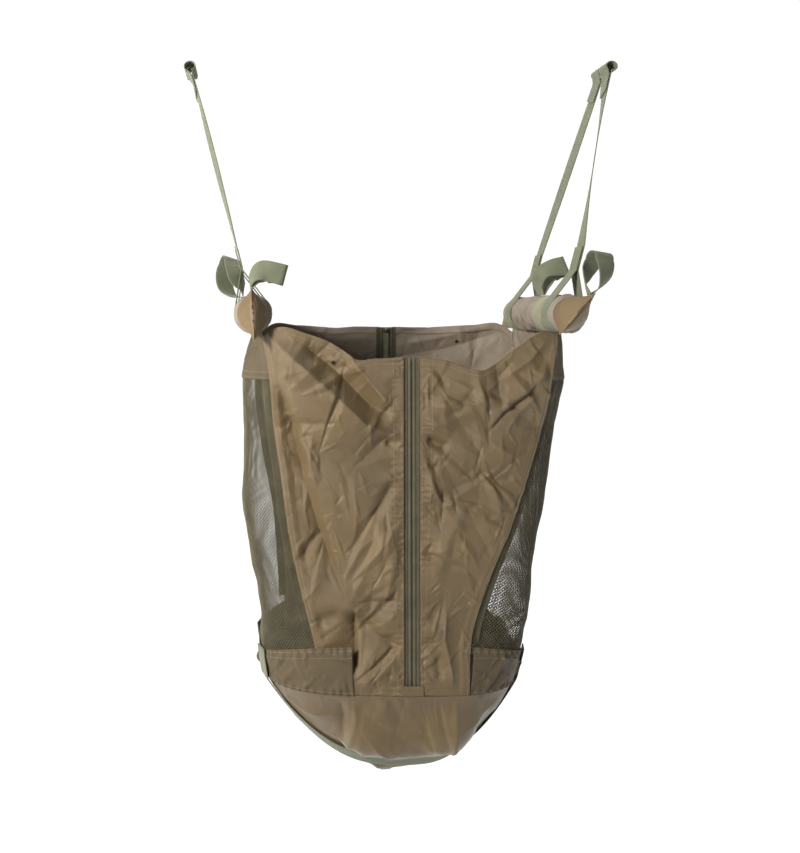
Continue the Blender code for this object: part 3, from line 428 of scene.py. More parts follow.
# Folds read off the photograph on the near panels: points in its pixels, the height in millimetres,
# and how far each spreads to the left and to the right of its run. The last number is 1 for a sharp
# crest and 2 for a round one.
NEAR_FOLDS = {
    LEFT: (
        (((258, 326), (301, 364), (338, 398), (365, 423), (396, 436)), 20, 24, 12, 1),
        (((296, 340), (331, 366), (370, 405), (398, 420)), -13, 12, 11, 1),
        (((342, 336), (353, 362), (382, 398), (402, 420)), 6, 6, 14, 1),
        (((362, 427), (382, 434), (405, 437)), 7, 10, 15, 1),
        (((276, 346), (290, 385), (305, 440), (322, 510), (338, 570), (353, 620)), 7, 7, 40, 1),
        (((268, 352), (284, 400), (298, 460), (318, 530), (340, 585), (351, 612)), -14, 16, 11, 1),
        (((353, 604), (355, 640), (355, 676)), -14, 24, 4, 1),
        (((350, 610), (375, 634), (410, 650)), -9, 24, 9, 1),
        (((356, 690), (378, 668), (402, 650)), 4, 8, 10, 1),
        (((372, 522), (385, 498), (397, 476)), -5, 7, 7, 2),
        (((384, 442), (400, 443)), -4, 4, 4, 2),
        (((336, 456), (345, 478), (351, 496)), -1.6, 3, 3, 1),
        (((352, 474), (356, 506), (354, 540)), 1.4, 5, 5, 1),
        (((386, 520), (378, 560), (388, 610)), 3, 9, 12, 2),
        (((276, 352), (290, 372), (302, 376)), 2, 4, 6, 1),
        (((262, 345), (276, 380), (284, 420)), -3, 5, 5, 2),
        (((286, 556), (302, 548), (322, 552)), 2.5, 6, 9, 2),
        (((306, 640), (322, 620), (345, 610)), -4, 8, 8, 2),
        (((298, 500), (310, 512), (322, 508)), 1.5, 5, 5, 1),
    ),
    RIGHT: (
        (((553, 334), (530, 360), (505, 376), (478, 398)), 4, 7, 7, 1),
        (((558, 350), (537, 384), (508, 403), (484, 434)), 7, 10, 8, 1),
        (((548, 372), (528, 394), (502, 414), (486, 438)), -6, 4, 5, 1),
        (((540, 392), (520, 412), (505, 432)), 3, 5, 5, 1),
        (((420, 432), (452, 420), (470, 411), (486, 417)), 4, 11, 22, 1),
        (((424, 438), (436, 443), (449, 449)), -6, 6, 6, 2),
        (((426, 463), (438, 468)), -3, 4, 4, 2),
        (((443, 486), (441, 524)), -4, 4, 4, 1),
        (((452, 490), (456, 514)), -3, 3, 4, 1),
        (((470, 500), (446, 538), (437, 566), (430, 610)), 3, 12, 9, 2),
        (((436, 368), (444, 384), (450, 383)), -2.5, 4, 3, 1),
        (((512, 360), (502, 374), (498, 384)), -3, 5, 4, 1),
        (((490, 440), (505, 452), (520, 458)), 2.5, 8, 5, 1),
        (((446, 606), (443, 636), (450, 668), (452, 690)), 5, 9, 5, 1),
        (((436, 650), (440, 680)), -3, 5, 5, 2),
        (((474, 470), (500, 480), (520, 476)), -2.5, 6, 8, 2),
    ),
}

# The far panels' folds run out from the zip, drawn up towards the bars
FAR_FOLDS = {
    LEFT: (
        (((404, 322), (350, 330), (290, 322)), 4, 7, 9, 1),
        (((404, 345), (350, 343), (290, 330)), -4, 8, 8, 2),
        (((404, 360), (340, 358), (270, 350)), 5, 10, 12, 1),
        (((404, 400), (330, 420), (290, 470)), 5, 16, 16, 2),
        (((404, 520), (350, 540), (330, 600)), 5, 16, 16, 2),
    ),
    RIGHT: (
        (((418, 338), (470, 330), (540, 318)), 5, 6, 8, 1),
        (((418, 352), (470, 343), (550, 325)), -4, 6, 6, 1),
        (((418, 366), (480, 356), (556, 334)), 6, 8, 9, 1),
        (((418, 420), (500, 400), (540, 360)), 6, 16, 16, 2),
        (((418, 540), (470, 520), (500, 470)), 5, 16, 16, 2),
    ),
}

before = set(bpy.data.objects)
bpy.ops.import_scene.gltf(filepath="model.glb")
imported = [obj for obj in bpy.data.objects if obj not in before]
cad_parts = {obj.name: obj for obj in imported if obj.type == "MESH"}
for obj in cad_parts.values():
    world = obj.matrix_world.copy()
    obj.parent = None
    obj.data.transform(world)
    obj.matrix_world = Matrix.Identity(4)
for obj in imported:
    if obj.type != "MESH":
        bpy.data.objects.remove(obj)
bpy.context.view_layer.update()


# Curves and random forms


def through(places, values, at):
    """A smooth curve through the values, with the slope of its neighbours at each place."""
    places, values = np.asarray(places, float), np.asarray(values, float)
    at = np.clip(np.asarray(at, float), places[0], places[-1])
    i = np.clip(np.searchsorted(places, at) - 1, 0, len(places) - 2)
    slopes = np.gradient(values, places)
    span = places[i + 1] - places[i]
    t = (at - places[i]) / span
    rise = values[i + 1] - values[i]
    start, end = slopes[i] * span, slopes[i + 1] * span
    return values[i] + t * start + t * t * (3 * rise - 2 * start - end) + t**3 * (start + end - 2 * rise)


def smooth_route(points, steps):
    """Points on a curve through vectors, with so many steps between each two."""
    at = np.linspace(0, len(points) - 1, (len(points) - 1) * steps + 1)
    columns = [through(range(len(points)), [p[k] for p in points], at) for k in range(3)]
    return [Vector(p) for p in zip(*columns)]


def eased(t):
    t = np.clip(t, 0, 1)
    return t * t * (3 - 2 * t)


def mix(low, high, t):
    return low + (high - low) * t


def bell(away, width):
    """A round ridge's share of its height at a distance from its middle."""
    return np.exp(-((away / width) ** 2))


def share_grid(across, down, low=0):
    """Shares from low to 1 across a grid, and from 0 to 1 down it, with so many points each way."""
    return np.meshgrid(np.linspace(low, 1, across), np.linspace(0, 1, down))


def cloud(x, y, size, seed):
    """Soft random heights from -1 to 1, about so far apart."""
    lattice = np.random.default_rng(seed).uniform(-1, 1, (LATTICE, LATTICE))
    a, b = np.asarray(x) / size, np.asarray(y) / size
    i, j = np.floor(a).astype(int), np.floor(b).astype(int)
    f, g = eased(a - i), eased(b - j)

    def corner(right, down):
        return lattice[(i + right) % LATTICE, (j + down) % LATTICE]

    return mix(mix(corner(0, 0), corner(1, 0), f), mix(corner(0, 1), corner(1, 1), f), g)


def waves(x, y, kind, seed):
    """Soft waves of one kind: their height, and about how far apart they lie."""
    height, size = kind
    return height * cloud(x, y, size, seed)


def creases(x, y, size, seed, count):
    """Flat facets with sharp ridges between them, as crumpled nylon keeps."""
    chance = np.random.default_rng(seed)
    total = 0
    for k in range(count):
        angle, pitch, shift = chance.uniform(0, pi), size * chance.uniform(0.6, 1.7), chance.uniform(0, 1)
        along = (x * cos(angle) + y * sin(angle)) / pitch + shift
        along = along + 0.5 * cloud(x, y, pitch * 1.2, seed + k + 1)
        wave = np.abs(along % 1 - 0.5) * 4 - 1
        total = total + wave * np.clip(0.4 + cloud(x, y, size * 1.9, seed + 31 + k), 0, 1)
    return total / count**0.5


def crumple(x, y, seed, facets, lean=None):
    """Crisp facets: small four-sided rises and dips thrown over the cloth at random."""
    count, length, width, height = facets
    chance = np.random.default_rng(seed)
    low_x, high_x, low_y, high_y = np.min(x), np.max(x), np.min(y), np.max(y)
    total = np.zeros(np.shape(x))
    for _ in range(count):
        middle_x, middle_y = chance.uniform(low_x, high_x), chance.uniform(low_y, high_y)
        angle = chance.uniform(0, pi) if lean is None else chance.normal(lean, 0.5)
        long, wide = length * chance.uniform(0.5, 1.5), width * chance.uniform(0.5, 1.5)
        steep = chance.uniform(1, 2.6)
        rise = height * chance.uniform(0.35, 1.0) * (1 if chance.uniform() < 0.5 else -1)
        dx, dy = x - middle_x, y - middle_y
        along = np.abs(dx * cos(angle) + dy * sin(angle)) / long
        over = (dy * cos(angle) - dx * sin(angle)) / wide
        over = np.where(over > 0, over, -over * steep)
        total = total + rise * np.maximum(1 - along - over, 0)
    return total


def fold(x, drop, points, height, left, right, power):
    """The height of one crease that runs through points, which fades towards both its ends."""
    points = np.array(points, float)
    runs = np.diff(points, axis=0)
    spans = np.hypot(runs[:, 0], runs[:, 1])
    best = np.full(np.shape(x), np.inf)
    signed, place = np.zeros_like(best), np.zeros_like(best)
    walked = 0.0
    for start, run, span in zip(points, runs, spans):
        dx, dy = x - start[0], drop - start[1]
        t = np.clip((dx * run[0] + dy * run[1]) / span**2, 0, 1)
        away = np.hypot(dx - t * run[0], dy - t * run[1])
        closer = away < best
        turn = np.where(dx * run[1] - dy * run[0] > 0, 1, -1)
        signed = np.where(closer, away * turn, signed)
        place = np.where(closer, walked + t * span, place)
        best = np.minimum(best, away)
        walked += span
    share = place / walked
    fade = eased(share / FOLD_FADE_SHARE) * eased((1 - share) / FOLD_FADE_SHARE)
    spread = np.where(signed > 0, right, left)
    return height * fade * np.exp(-((np.abs(signed) / spread) ** power))


def seen_place(pixel):
    """A photograph's pixel as X and drop on the near panel."""
    return (
        (pixel[0] - SEEN_LEFT_BAR[0]) * SEEN_SCALE - HALF_SPACING,
        (pixel[1] - SEEN_LEFT_BAR[1]) * SEEN_SCALE,
    )


def folds_at(x, drop, folds):
    """The sum of folds given in the photograph's pixels and millimetres."""
    total = 0
    for points, height, left, right, power in folds:
        places = [seen_place(p) for p in points]
        total = total + fold(x, drop, places, height / MM_PER_M, left / MM_PER_M, right / MM_PER_M, power)
    return total


# The bag's surface


def level(side, drop):
    """One side's width, half the bag's depth and the power of its corners at a drop below the bars."""
    share = np.asarray(drop) / SEAM_DROP
    half_width = HALF_SPACING * through(LEVEL_SHARES, WIDTH_SHARES[side], share)
    half_depth = HALF_BAR * np.interp(share, DEPTH_LEVEL_SHARES, DEPTH_SHARES)
    power = np.interp(share, CORNER_LEVEL_SHARES, CORNER_POWER_SHARES)
    return half_width, half_depth, power


@lru_cache(maxsize=None)
def rings(side):
    """Half of the bag's outline at each drop, from near to far: the drops, the lengths round, and X and Y."""
    drops = np.linspace(0, SEAM_DROP, RING_LEVELS)
    angle = np.linspace(-pi / 2, pi / 2, 4 * RING_STEPS + 1)
    totals, table = [], []
    for half_width, half_depth, power in zip(*level(side, drops)):
        x = half_width * np.abs(np.cos(angle)) ** (2 / power)
        y = half_depth * np.sign(angle) * np.abs(np.sin(angle)) ** (2 / power)
        x[0] = x[-1] = 0
        lengths = np.concatenate([[0], np.cumsum(np.hypot(np.diff(x), np.diff(y)))])
        at = np.linspace(0, lengths[-1], RING_STEPS)
        table.append((np.interp(at, lengths, x), np.interp(at, lengths, y)))
        totals.append(lengths[-1])
    return drops, np.array(totals), np.array(table)


def ring_length(side, drop):
    drops, totals, _ = rings(side)
    return np.interp(drop, drops, totals)


def on_wall(side, drop, length, out):
    """Points at lengths round the half ring, set out from the cloth's middle surface."""
    _, _, table = rings(side)
    drop, length, out = np.broadcast_arrays(drop, length, out)
    row = np.clip(drop / SEAM_DROP, 0, 1) * (RING_LEVELS - 1)
    low = np.minimum(row.astype(int), RING_LEVELS - 2)
    column = np.clip(length / ring_length(side, drop), 0, 1) * (RING_STEPS - 1)

    def at(axis, shift=0):
        place = np.clip(column + shift, 0, RING_STEPS - 1)
        left = np.minimum(place.astype(int), RING_STEPS - 2)
        part = place - left
        upper, lower = [mix(table[low + d, axis, left], table[low + d, axis, left + 1], part) for d in (0, 1)]
        return mix(upper, lower, row - low)

    run_x, run_y = at(0, 2) - at(0, -2), at(1, 2) - at(1, -2)
    size = np.hypot(run_x, run_y)
    x, y = at(0) + out * run_y / size, at(1) - out * run_x / size
    return np.stack([side * x, y, -BAR_DROP - drop], axis=-1)


@lru_cache(maxsize=None)
def edge_table(side, end):
    drops, totals, table = rings(side)
    shares = through(PANEL_LEVEL_SHARES, PANEL_WIDTH_SHARES[side, end], drops / SEAM_DROP)
    middle = RING_STEPS // 2
    found = [
        np.interp(HALF_SPACING * share, row[0, : middle + 1], np.linspace(0, total / 2, middle + 1))
        for share, row, total in zip(shares, table, totals)
    ]
    return np.array(found)


def panel_width(side, end, drop):
    """The length along the cloth from the zip's line to where an end panel meets the net."""
    return np.interp(drop, rings(side)[0], edge_table(side, end))


def panel_edge(side, end, drop):
    width = panel_width(side, end, drop)
    return width if end == NEAR else ring_length(side, drop) - width


def brim_drop(side, end, place_share):
    return SEAM_DROP * through(BRIM_PLACE_SHARES, BRIM_DROP_SHARES[side, end], place_share)


def main_fold(side, end, drop, length):
    """How far the near panel's left half leans out along its long slanting fold."""
    if (side, end) != (LEFT, NEAR):
        return 0.0
    start = np.array((FOLD_START_SHARES[0] * HALF_SPACING, FOLD_START_SHARES[1] * SEAM_DROP))
    along = np.array((FOLD_END_SHARES[0] * HALF_SPACING, FOLD_END_SHARES[1] * SEAM_DROP)) - start
    dx, dy = length - start[0], drop - start[1]
    t = np.clip((dx * along[0] + dy * along[1]) / (along @ along), 0, 1)
    away = np.hypot(dx - t * along[0], dy - t * along[1])
    return FOLD_HEIGHT * np.sin(pi * t) * bell(away, FOLD_WIDTH)


def panel_relief(side, end, drop, offset):
    """The folds, creases and puckered stitch rows of an end panel, as heights off its smooth surface."""
    x = side * offset
    width = panel_width(side, end, drop)
    top = brim_drop(side, end, np.clip(offset / HALF_SPACING, 0, BRIM_PLACE_SHARES[-1]))
    folds = NEAR_FOLDS[side] if end == NEAR else FAR_FOLDS[side]
    seed = 11 * side + 5 * end + 40
    rough = crumple(x, drop, seed, PANEL_FACETS, PANEL_FACET_LEAN * side)
    rough = rough + waves(x, drop, PANEL_WAVES, seed + 3)
    big = folds_at(x, drop, folds) + rough * mix(BRIM_CALM_SHARE, 1, eased((drop - top) / BRIM_CALM_FADE))
    past_zip = offset - ZIP_GAP / 2
    big = big * eased(past_zip / PANEL_ZIP_FADE)
    small = crumple(x, drop, seed + 9, PANEL_FINE_FACETS) * eased(past_zip / PANEL_ZIP_FINE_FADE)
    puckers = 0
    for row in STITCH_ROWS:
        beat = np.sin(2 * pi * drop / PUCKER_PITCH + waves(x, drop, PUCKER_SWAY, seed + 17))
        uneven = mix(PUCKER_LEAST_SHARE, 1, np.abs(cloud(x, drop, PUCKER_UNEVEN_SIZE, seed + 19)))
        puckers = puckers + PUCKER_HEIGHT * uneven * beat * bell(offset - row, PUCKER_WIDTH)
    ruck = waves(x * RUCK_STRETCH_SHARE, drop, RUCK_WAVES, seed + 23) * bell(offset - RUCK_SETOFF, RUCK_WIDTH)
    edge = eased((width - offset) / PANEL_EDGE_FADE) * eased((SEAM_DROP - drop) / PANEL_SEAM_FADE)
    rise = eased((drop - top) / BRIM_FADE)
    rib = PANEL_RIB_HEIGHT * bell(width - offset - PANEL_RIB_SETBACK, PANEL_RIB_WIDTH)
    rib = rib * eased((drop - TOP_BAND_DROP) / PANEL_RIB_FADE)
    total = main_fold(side, end, drop, offset) + (big + ruck * rise) * edge + small * rise + puckers + rib
    under_band = eased((offset - BAND_REACH) / UNDER_BAND_FADE + 1)
    under_band = under_band * eased((drop - END_SEAM_DROP) / UNDER_BAND_TOP_FADE + 1)
    return np.where(total > UNDER_BAND, mix(total, UNDER_BAND, under_band), total)


def end_panel_points(side, end, across, along):
    """Points on an end panel: columns run from the zip to the net and rows from the brim down."""
    u, v = share_grid(across + 1, along + 1)
    top = brim_drop(side, end, u * BRIM_PLACE_SHARES[-1])
    drop = mix(top, SEAM_DROP, v)
    width = panel_width(side, end, drop)
    offset = mix(ZIP_GAP / 2, width + SEAM_LAP, u)
    length = offset if end == NEAR else ring_length(side, drop) - offset
    lap = SEAM_LIFT * eased((offset - width) / PANEL_LAP_WIDTH + 1)
    points = on_wall(side, drop, length, panel_relief(side, end, drop, offset) + lap)
    return points, (side * offset, drop)


def side_seam_drop(side, drop_guess, length):
    """The seam under the net, lowest at the middle of the side and higher towards the ends."""
    _, _, table = rings(side)
    row = table[int(round(drop_guess / SEAM_DROP * (RING_LEVELS - 1)))]
    place = np.interp(length / ring_length(side, drop_guess), np.linspace(0, 1, RING_STEPS), row[1])
    return mix(SIDE_SEAM_DROP, END_SEAM_DROP, np.minimum((place / row[1, -1]) ** 2, 1))


def wall_relief(side, drop, length, share):
    """Slow waves and long creases of the side wall, which die out at its seams."""
    wave = waves(length, drop, WALL_WAVES, 60 + side)
    wave = wave + WALL_CREASE_HEIGHT * creases(length, drop, WALL_CREASE_SIZE, 70 + side, 4)
    return wave * eased(share / WALL_FADE_SHARE) * eased((1 - share) / WALL_FADE_SHARE)


def wall_length(side, drop, share):
    """The length round the bag at a share of the way from the near panel's edge to the far panel's."""
    return mix(panel_edge(side, NEAR, drop) + SEAM_GAP, panel_edge(side, FAR, drop) - SEAM_GAP, share)


def in_belly(x, y):
    """How far out a point lies in the bottom's outline: 0 in the middle and 1 at the seam."""
    right, left = level(RIGHT, SEAM_DROP), level(LEFT, SEAM_DROP)
    half_width = np.where(np.asarray(x) > 0, right[0], left[0])
    power = right[2]
    return ((np.abs(x) / half_width) ** power + (np.abs(y) / right[1]) ** power) ** (1 / power)


def belly_drop(share):
    return SEAM_DROP + LAY_GAP + BELLY_DEPTH * (1 - share**BELLY_POWER)


def belly_facing(x, y):
    """The bottom's outward direction at a point."""
    slopes = [
        float(belly_drop(in_belly(x + dx, y + dy)) - belly_drop(in_belly(x - dx, y - dy))) / (2 * GAP)
        for dx, dy in ((GAP, 0), (0, GAP))
    ]
    return Vector((-slopes[0], -slopes[1], -1)).normalized()


# Making pieces


def facing_of(points):
    """The directions square to a grid of points, worked out across its columns and rows."""
    across = np.gradient(points, axis=1)
    down = np.gradient(points, axis=0)
    facing = np.cross(across, down)
    return facing / np.maximum(np.linalg.norm(facing, axis=2, keepdims=True), LEAST_LENGTH)


def faced_out(points, middle=BAG_MIDDLE):
    """The directions that a grid of points faces, turned away from a middle."""
    facing = facing_of(points)
    return -facing if (facing * (points - np.asarray(middle))).sum() < 0 else facing


def set_on(spot, out):
    """The matrix that sets a shape on a spot, with its Z along a direction."""
    return Matrix.Translation(spot) @ Vector(out).to_track_quat("Z", "Y").to_matrix().to_4x4()


def mesh_of(bm, smooth=True):
    """The finished mesh of a bmesh, which is freed."""
    mesh = bpy.data.meshes.new("mesh")
    bm.to_mesh(mesh)
    bm.free()
    if smooth:
        mesh.shade_smooth()
    return mesh


def piece_from(name, mesh, looks):
    piece = bpy.data.objects.new(name, mesh)
    bpy.context.scene.collection.objects.link(piece)
    for look in looks:
        mesh.materials.append(look)
    return piece


def laid_mesh(points, places, wrap=False):
    """A grid mesh on points, whose UV map holds places in metres, given as two grids."""
    rows, columns = points.shape[:2]
    places = np.stack(places, axis=-1)
    bm = bmesh.new()
    bmesh.ops.create_grid(bm, x_segments=columns - 1, y_segments=rows - 1, size=0.5)
    uv = bm.loops.layers.uv.new("place")
    spots = {}
    for v in bm.verts:
        i, j = round((v.co.x + 0.5) * (columns - 1)), round((v.co.y + 0.5) * (rows - 1))
        spots[v.index] = places[j, i]
        v.co = points[j, i]
    for face in bm.faces:
        for loop in face.loops:
            loop[uv].uv = spots[loop.vert.index]
    if wrap:
        bmesh.ops.remove_doubles(bm, verts=bm.verts[:], dist=GAP / 10)
    return mesh_of(bm)


def face_away(mesh, middle):
    """Turns a mesh whose faces mostly look towards a middle."""
    count = len(mesh.polygons)
    normals, centres = np.zeros(3 * count), np.zeros(3 * count)
    mesh.polygons.foreach_get("normal", normals)
    mesh.polygons.foreach_get("center", centres)
    away = centres.reshape(-1, 3) - np.asarray(middle)
    if (normals.reshape(-1, 3) * away).sum() < 0:
        mesh.flip_normals()


def thicken(piece, thickness, inner=0, offset=0):
    skin = piece.modifiers.new("thickness", "SOLIDIFY")
    skin.thickness = thickness
    skin.offset = offset
    skin.material_offset = inner
    return piece


def cloth_piece(name, points, places, looks, thickness=CLOTH):
    mesh = laid_mesh(points, places)
    face_away(mesh, BAG_MIDDLE)
    return thicken(piece_from(name, mesh, looks), thickness, len(looks) - 1)


def stamp(bm, shape, place):
    """Adds a copy of a small mesh to bm, set by a matrix."""
    copy = shape.copy()
    copy.transform(place)
    bm.from_mesh(copy)
    bpy.data.meshes.remove(copy)


def unit_thread():
    """A unit thread, to be stamped many times."""
    bm = bmesh.new()
    bmesh.ops.create_uvsphere(bm, u_segments=6, v_segments=4, radius=0.5)
    bmesh.ops.rotate(bm, cent=(0, 0, 0), matrix=Matrix.Rotation(pi / 2, 3, "Y"), verts=bm.verts[:])
    return mesh_of(bm)


def unit_tooth():
    """A unit tooth of the coil, to be stamped many times."""
    bm = bmesh.new()
    bmesh.ops.create_cube(bm, size=1)
    bmesh.ops.bevel(
        bm, geom=bm.edges[:], offset=TOOTH_ROUNDING_SHARE, segments=1, profile=0.5, affect="EDGES",
    )
    return mesh_of(bm)


def stitches(name, runs):
    """Short threads along runs of points, each run given with its outward directions."""
    bm = bmesh.new()
    size = Matrix.Diagonal((STITCH_LENGTH, STITCH_THICKNESS, STITCH_THICKNESS, 1))
    for points, outs in runs:
        spans = np.linalg.norm(np.diff(points, axis=0), axis=1)
        walked = np.concatenate([[0], np.cumsum(spans)])

        def along(table, at, walked=walked):
            return np.stack([np.interp(at, walked, table[:, k]) for k in range(3)], axis=-1)

        places = np.arange(STITCH_PITCH / 2, walked[-1], STITCH_PITCH)
        spots, facings = along(points, places), along(outs, places)
        runs_ahead = along(points, places + STITCH_LENGTH / 2) - along(points, places - STITCH_LENGTH / 2)
        for spot, facing, run in zip(spots, facings, runs_ahead):
            run = Vector(run).normalized()
            side = run.cross(Vector(facing)).normalized()
            out = side.cross(run)
            turn = Matrix((run, side, out)).transposed().to_4x4()
            lifted = Vector(spot) + out * STITCH_THICKNESS * STITCH_LIFT_SHARE
            stamp(bm, THREAD_SHAPE, Matrix.Translation(lifted) @ turn @ size)
    return piece_from(name, mesh_of(bm, smooth=False), [THREAD])


def row_of(points, row=None, column=None, lift=CLOTH / 2):
    """One row or column of a grid of points, lifted off it, with its outward directions."""
    facing = faced_out(points)
    place = np.s_[row] if row is not None else np.s_[:, column]
    return points[place] + lift * facing[place], facing[place]


# Looks


class Look:
    """A material's nodes, added in reading order from its coordinates to its surface."""

    def __init__(self, name, colour, roughness, metallic=0.0):
        self.material = bpy.data.materials.new(name)
        self.material.use_nodes = True
        self.nodes = self.material.node_tree.nodes
        self.links = self.material.node_tree.links
        self.shader = self.nodes["Principled BSDF"]
        self.shader.inputs["Base Color"].default_value = (*colour, 1)
        self.shader.inputs["Roughness"].default_value = roughness
        self.shader.inputs["Metallic"].default_value = metallic
        self.colour = colour
        coordinates = self.nodes.new("ShaderNodeTexCoord")
        self.object = coordinates.outputs["Object"]
        self.uv = coordinates.outputs["UV"]
        self.height = None

    def node(self, kind, **values):
        made = self.nodes.new(kind)
        for key, value in values.items():
            setattr(made, key, value)
        return made

    def stretched(self, source, scale):
        mapping = self.node("ShaderNodeMapping")
        mapping.inputs["Scale"].default_value = scale
        self.links.new(source, mapping.inputs["Vector"])
        return mapping.outputs["Vector"]

    def noise(self, source, scale, detail=3.0, distortion=0.0):
        texture = self.node("ShaderNodeTexNoise")
        texture.inputs["Scale"].default_value = scale
        texture.inputs["Detail"].default_value = detail
        texture.inputs["Distortion"].default_value = distortion
        self.links.new(source, texture.inputs["Vector"])
        return texture.outputs["Fac"]

    def facets(self, source, scale):
        """Small crisp creases: the distance to random points, shaken by a noise."""
        shake = self.node("ShaderNodeTexNoise")
        shake.inputs["Scale"].default_value = scale * 0.6
        self.links.new(source, shake.inputs["Vector"])
        moved = self.node("ShaderNodeMix", data_type="RGBA", blend_type="LINEAR_LIGHT")
        moved.inputs["Factor"].default_value = 0.35 / scale
        self.links.new(source, moved.inputs["A"])
        self.links.new(shake.outputs["Color"], moved.inputs["B"])
        texture = self.node("ShaderNodeTexVoronoi")
        texture.inputs["Scale"].default_value = scale
        self.links.new(moved.outputs["Result"], texture.inputs["Vector"])
        return texture.outputs["Distance"]

    def bands(self, source, scale, direction, distortion=0.0):
        texture = self.node("ShaderNodeTexWave", bands_direction=direction)
        texture.inputs["Scale"].default_value = scale
        texture.inputs["Distortion"].default_value = distortion
        self.links.new(source, texture.inputs["Vector"])
        return texture.outputs["Fac"]

    def ramp(self, source, low, high, at=(0.3, 0.7)):
        made = self.node("ShaderNodeValToRGB")
        made.color_ramp.elements[0].position, made.color_ramp.elements[1].position = at
        made.color_ramp.elements[0].color = (*low, 1)
        made.color_ramp.elements[1].color = (*high, 1)
        self.links.new(source, made.inputs["Fac"])
        return made.outputs["Color"]

    def tint(self, source, spread):
        """The base colour, varied by a texture to both sides."""
        low = [c * (1 - spread) for c in self.colour]
        high = [c * (1 + spread) for c in self.colour]
        self.links.new(self.ramp(source, low, high), self.shader.inputs["Base Color"])

    def worn_tint(self, colour, patches):
        """The base colour from one texture, darkened in patches by another."""
        made = self.node("ShaderNodeMix", data_type="RGBA", blend_type="MULTIPLY")
        made.inputs["Factor"].default_value = 1.0
        self.links.new(colour, made.inputs["A"])
        self.links.new(patches, made.inputs["B"])
        self.links.new(made.outputs["Result"], self.shader.inputs["Base Color"])

    def rough(self, source, low, high):
        made = self.node("ShaderNodeMapRange")
        made.inputs["To Min"].default_value = low
        made.inputs["To Max"].default_value = high
        self.links.new(source, made.inputs["Value"])
        self.links.new(made.outputs["Result"], self.shader.inputs["Roughness"])

    def bump(self, source, distance):
        made = self.node("ShaderNodeBump")
        made.inputs["Distance"].default_value = distance
        self.links.new(source, made.inputs["Height"])
        if self.height:
            self.links.new(self.height, made.inputs["Normal"])
        self.height = made.outputs["Normal"]
        self.links.new(self.height, self.shader.inputs["Normal"])

    def sheen(self, weight, roughness, tint=(1, 1, 1)):
        self.shader.inputs["Sheen Weight"].default_value = weight
        self.shader.inputs["Sheen Roughness"].default_value = roughness
        self.shader.inputs["Sheen Tint"].default_value = (*tint, 1)


def nylon_look(name, colour, roughness, sheen, wrinkle):
    look = Look(name, colour, roughness)
    look.tint(look.noise(look.object, 14, 4, 0.6), 0.16)
    look.rough(look.noise(look.object, 30, 3), roughness - 0.07, roughness + 0.1)
    look.bump(look.facets(look.stretched(look.object, (1, 1, 0.7)), 34), wrinkle * 1.6)
    look.bump(look.facets(look.object, 95), wrinkle * 0.5)
    for way in ("X", "Y"):
        look.bump(look.bands(look.uv, 900, way), 0.00005)
    look.sheen(sheen, 0.4, (1, 0.93, 0.8))
    look.shader.inputs["Specular IOR Level"].default_value = 0.6
    return look.material


def webbing_look(name, colour):
    look = Look(name, colour, 0.75)
    cross = look.bands(look.uv, 520, "X", 0.3)
    along = look.bands(look.uv, 416, "Y", 0.3)
    worn = look.noise(look.object, 45, 4)
    low = [c * 0.84 for c in colour]
    high = [c * 1.12 for c in colour]
    weave = look.ramp(cross, low, high, (0.0, 1.0))
    patchy = look.ramp(worn, (0.8, 0.8, 0.8), (1.0, 1.0, 1.0), (0.3, 0.6))
    look.worn_tint(weave, patchy)
    look.rough(worn, 0.65, 0.9)
    look.bump(cross, 0.00012)
    look.bump(along, 0.00008)
    look.sheen(0.35, 0.5, (0.95, 1, 0.85))
    return look.material


def zip_look():
    """Woven tape with painted shade and light: a near-black line of painted shade where the tapes meet over
    the coil's middle, dark lines of painted shade at the coil's edge and beside the rib, and painted
    highlights over the coil.
    """
    look = Look("zip_tape", (0.125, 0.110, 0.062), 0.7)
    split = look.node("ShaderNodeSeparateXYZ")
    look.links.new(look.uv, split.inputs["Vector"])
    share = look.node("ShaderNodeMath", operation="DIVIDE")
    share.inputs[1].default_value = ZIP_TAPE_REACH
    look.links.new(split.outputs["Y"], share.inputs[0])
    made = look.node("ShaderNodeValToRGB")
    stops = made.color_ramp.elements
    # The first stop, near black, is painted shade in the gap where the two tapes meet.
    stops[0].position, stops[0].color = 0.045, (0.025, 0.023, 0.016, 1)
    stops[1].position, stops[1].color = 1.0, (*look.colour, 1)
    for place, shade in TAPE_PAINTED_LIGHT_SHARES:
        stop = stops.new(place)
        stop.color = (*(c * shade for c in look.colour), 1)
    look.links.new(share.outputs["Value"], made.inputs["Fac"])
    patchy = look.ramp(look.noise(look.object, 60, 3), (0.75, 0.75, 0.75), (1, 1, 1), (0.3, 0.6))
    look.worn_tint(made.outputs["Color"], patchy)
    look.bump(look.bands(look.uv, 700, "X", 0.3), 0.0001)
    look.sheen(0.2, 0.5, (0.95, 1, 0.85))
    return look.material


def net_look():
    look = Look("net_cord", (0.120, 0.104, 0.056), 0.6)
    look.tint(look.noise(look.object, 60, 3), 0.3)
    look.bump(look.noise(look.object, 2600, 2), 0.0001)
    look.sheen(0.15, 0.4, (1, 1, 0.85))
    return look.material


def thread_look():
    look = Look("thread", (0.36, 0.30, 0.18), 0.6)
    look.tint(look.noise(look.object, 300, 2), 0.2)
    look.bump(look.bands(look.object, 1800, "DIAGONAL"), 0.00005)
    look.sheen(0.3, 0.4)
    return look.material


def metal_look():
    look = Look("dark_metal", (0.12, 0.11, 0.09), 0.4, 0.9)
    worn = look.noise(look.object, 220, 5, 0.5)
    look.tint(worn, 0.45)
    look.rough(worn, 0.3, 0.55)
    look.bump(look.noise(look.object, 700, 3), 0.00006)
    return look.material


